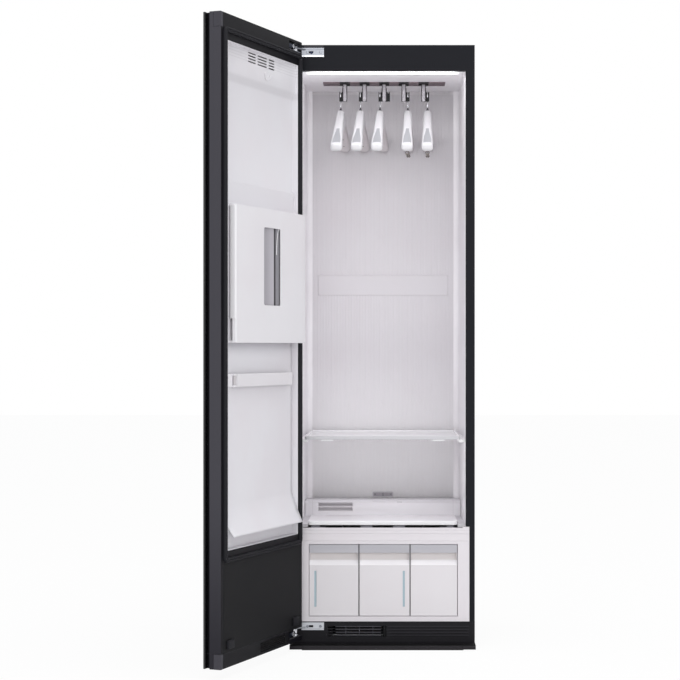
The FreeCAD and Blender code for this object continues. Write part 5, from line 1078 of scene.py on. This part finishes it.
# Painted light and shade: the tray is painted lightest beside the slit and darker away from it.
lit = window_grey.mix(along_window.over(0.262, 0.325), "b6b3ba", "a19ea4")
window_grey.paint(along_window.over(0.245, 0.258), lit)
window_grey.paint(along_window.within(*WINDOW_SLIT, 0.002), "2c2a2e")
place_piece("window_tray", slab((205, 15, 1096), (348, 18, 1350)), "press_cover", window_grey,
            door_place)
steam_pipe = [(across, PIPE_DEPTH, up) for across, up in PIPE_BENDS]
tube.make("steam_pipe", path_mesh(steam_pipe), "press_cover", press_white, "grey_bar", door_place,
          radius=0.0014)

# ---- press film ----
# A white film that hangs from under the cover, flat on the door's tray, and flares out at its
# lower edge.

FILM_LEFT, FILM_RIGHT = 35.0, 538.0
FILM_TOP, FLARE_FROM, FILM_LOW = 989.0, 510.0, 415.0
FILM_BACK, FLARE, FLARE_POWER = -19.6, 38.0, 1.2
FILM_WAVE = 0.12
FLAT_ROWS, FLARED_ROWS, FILM_COLUMNS = 10, 14, 20
FILM_THICKNESS = 0.001

film_white = satin_white("film_white", "e1e0e4", 0.45)


def film_depth(height, along=0.5):
    """How far the film's back stands out of the tray: it curls later on the door's free side."""
    below = max(0.0, FLARE_FROM - height) / (FLARE_FROM - FILM_LOW)
    return FILM_BACK + FLARE * below ** (FLARE_POWER + along)


def film_spot(height, k):
    """One point of the film, in metres, k columns from its left edge."""
    share = k / FILM_COLUMNS
    wave = FILM_WAVE * math.sin(k * 0.5 + height / 90)
    aside = FILM_LEFT + (FILM_RIGHT - FILM_LEFT) * share
    return aside / 1000, (film_depth(height, share) + wave) / 1000, height / 1000


film_heights = [FILM_TOP - (FILM_TOP - FLARE_FROM) * k / FLAT_ROWS for k in range(FLAT_ROWS)]
film_heights += [FLARE_FROM - (FLARE_FROM - FILM_LOW) * k / FLARED_ROWS for k in range(FLARED_ROWS + 1)]
film_mesh = sheet_mesh([[film_spot(height, k) for k in range(FILM_COLUMNS + 1)] for height in film_heights])
film_mesh.flip_normals()
film_mesh.shade_smooth()
film = place_piece("press_film", film_mesh, "door", film_white, door_place)
thicken(film, FILM_THICKNESS, 0)
film_length = sum(math.hypot(a - b, film_depth(a) - film_depth(b))
                  for a, b in zip(film_heights, film_heights[1:]))
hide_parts("press_sheet")

# ---- lower door panel ----
# A flat black panel under the gasket, with a slotted air inlet and two rubber bumpers that are
# pressed into the door.

panel_black = satin_black("panel_black", "161618", 0.62, 0.00008)
eased("door_lower_panel", panel_black, 0.0008)
eased("door_vent_grille", panel_black, 0.0004)
for number, left in enumerate((36, 511)):
    pad = rounded_box((left, -0.5, 86), (left + 41, 8.4, 112), 2.8)
    buffer_piece = place_piece("door_buffer_%d" % (number + 1), pad, "door", gasket_rubber,
                               door_place)
    if not number:
        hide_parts("door_bumpers")

# ---- machine compartment ----
# Behind the drawers: compressor, two finned heat exchangers, fan, steam generator, pumps and
# control box, all bolted to the base. The turned post stands in the kick panel's air inlet.

POST_PROFILE = ((0.5, 33), (5.4, 33.2), (6.5, 34.4), (6.5, 67.6), (5.4, 68.8), (0.5, 69))

place_piece("inlet_post", turned(POST_PROFILE), "cabinet", intake_dark,
            Matrix.Translation((0.0055, 0.0025, 0)))
enamel = satin_black("black_enamel", "1d1d1e", 0.3)
copper = nickel("copper_fins", "c08a62", 0.35)
control_grey = satin_white("control_grey", "9b9da0", 0.45)
dress(enamel, "compressor", "pumps", "fan_housing", "fan_wheel")
dress(copper, "heat_exchangers")
dress(plain_steel, "steam_generator")
dress(rear_zinc, "hook_motor")
dress(control_grey, "control_box")
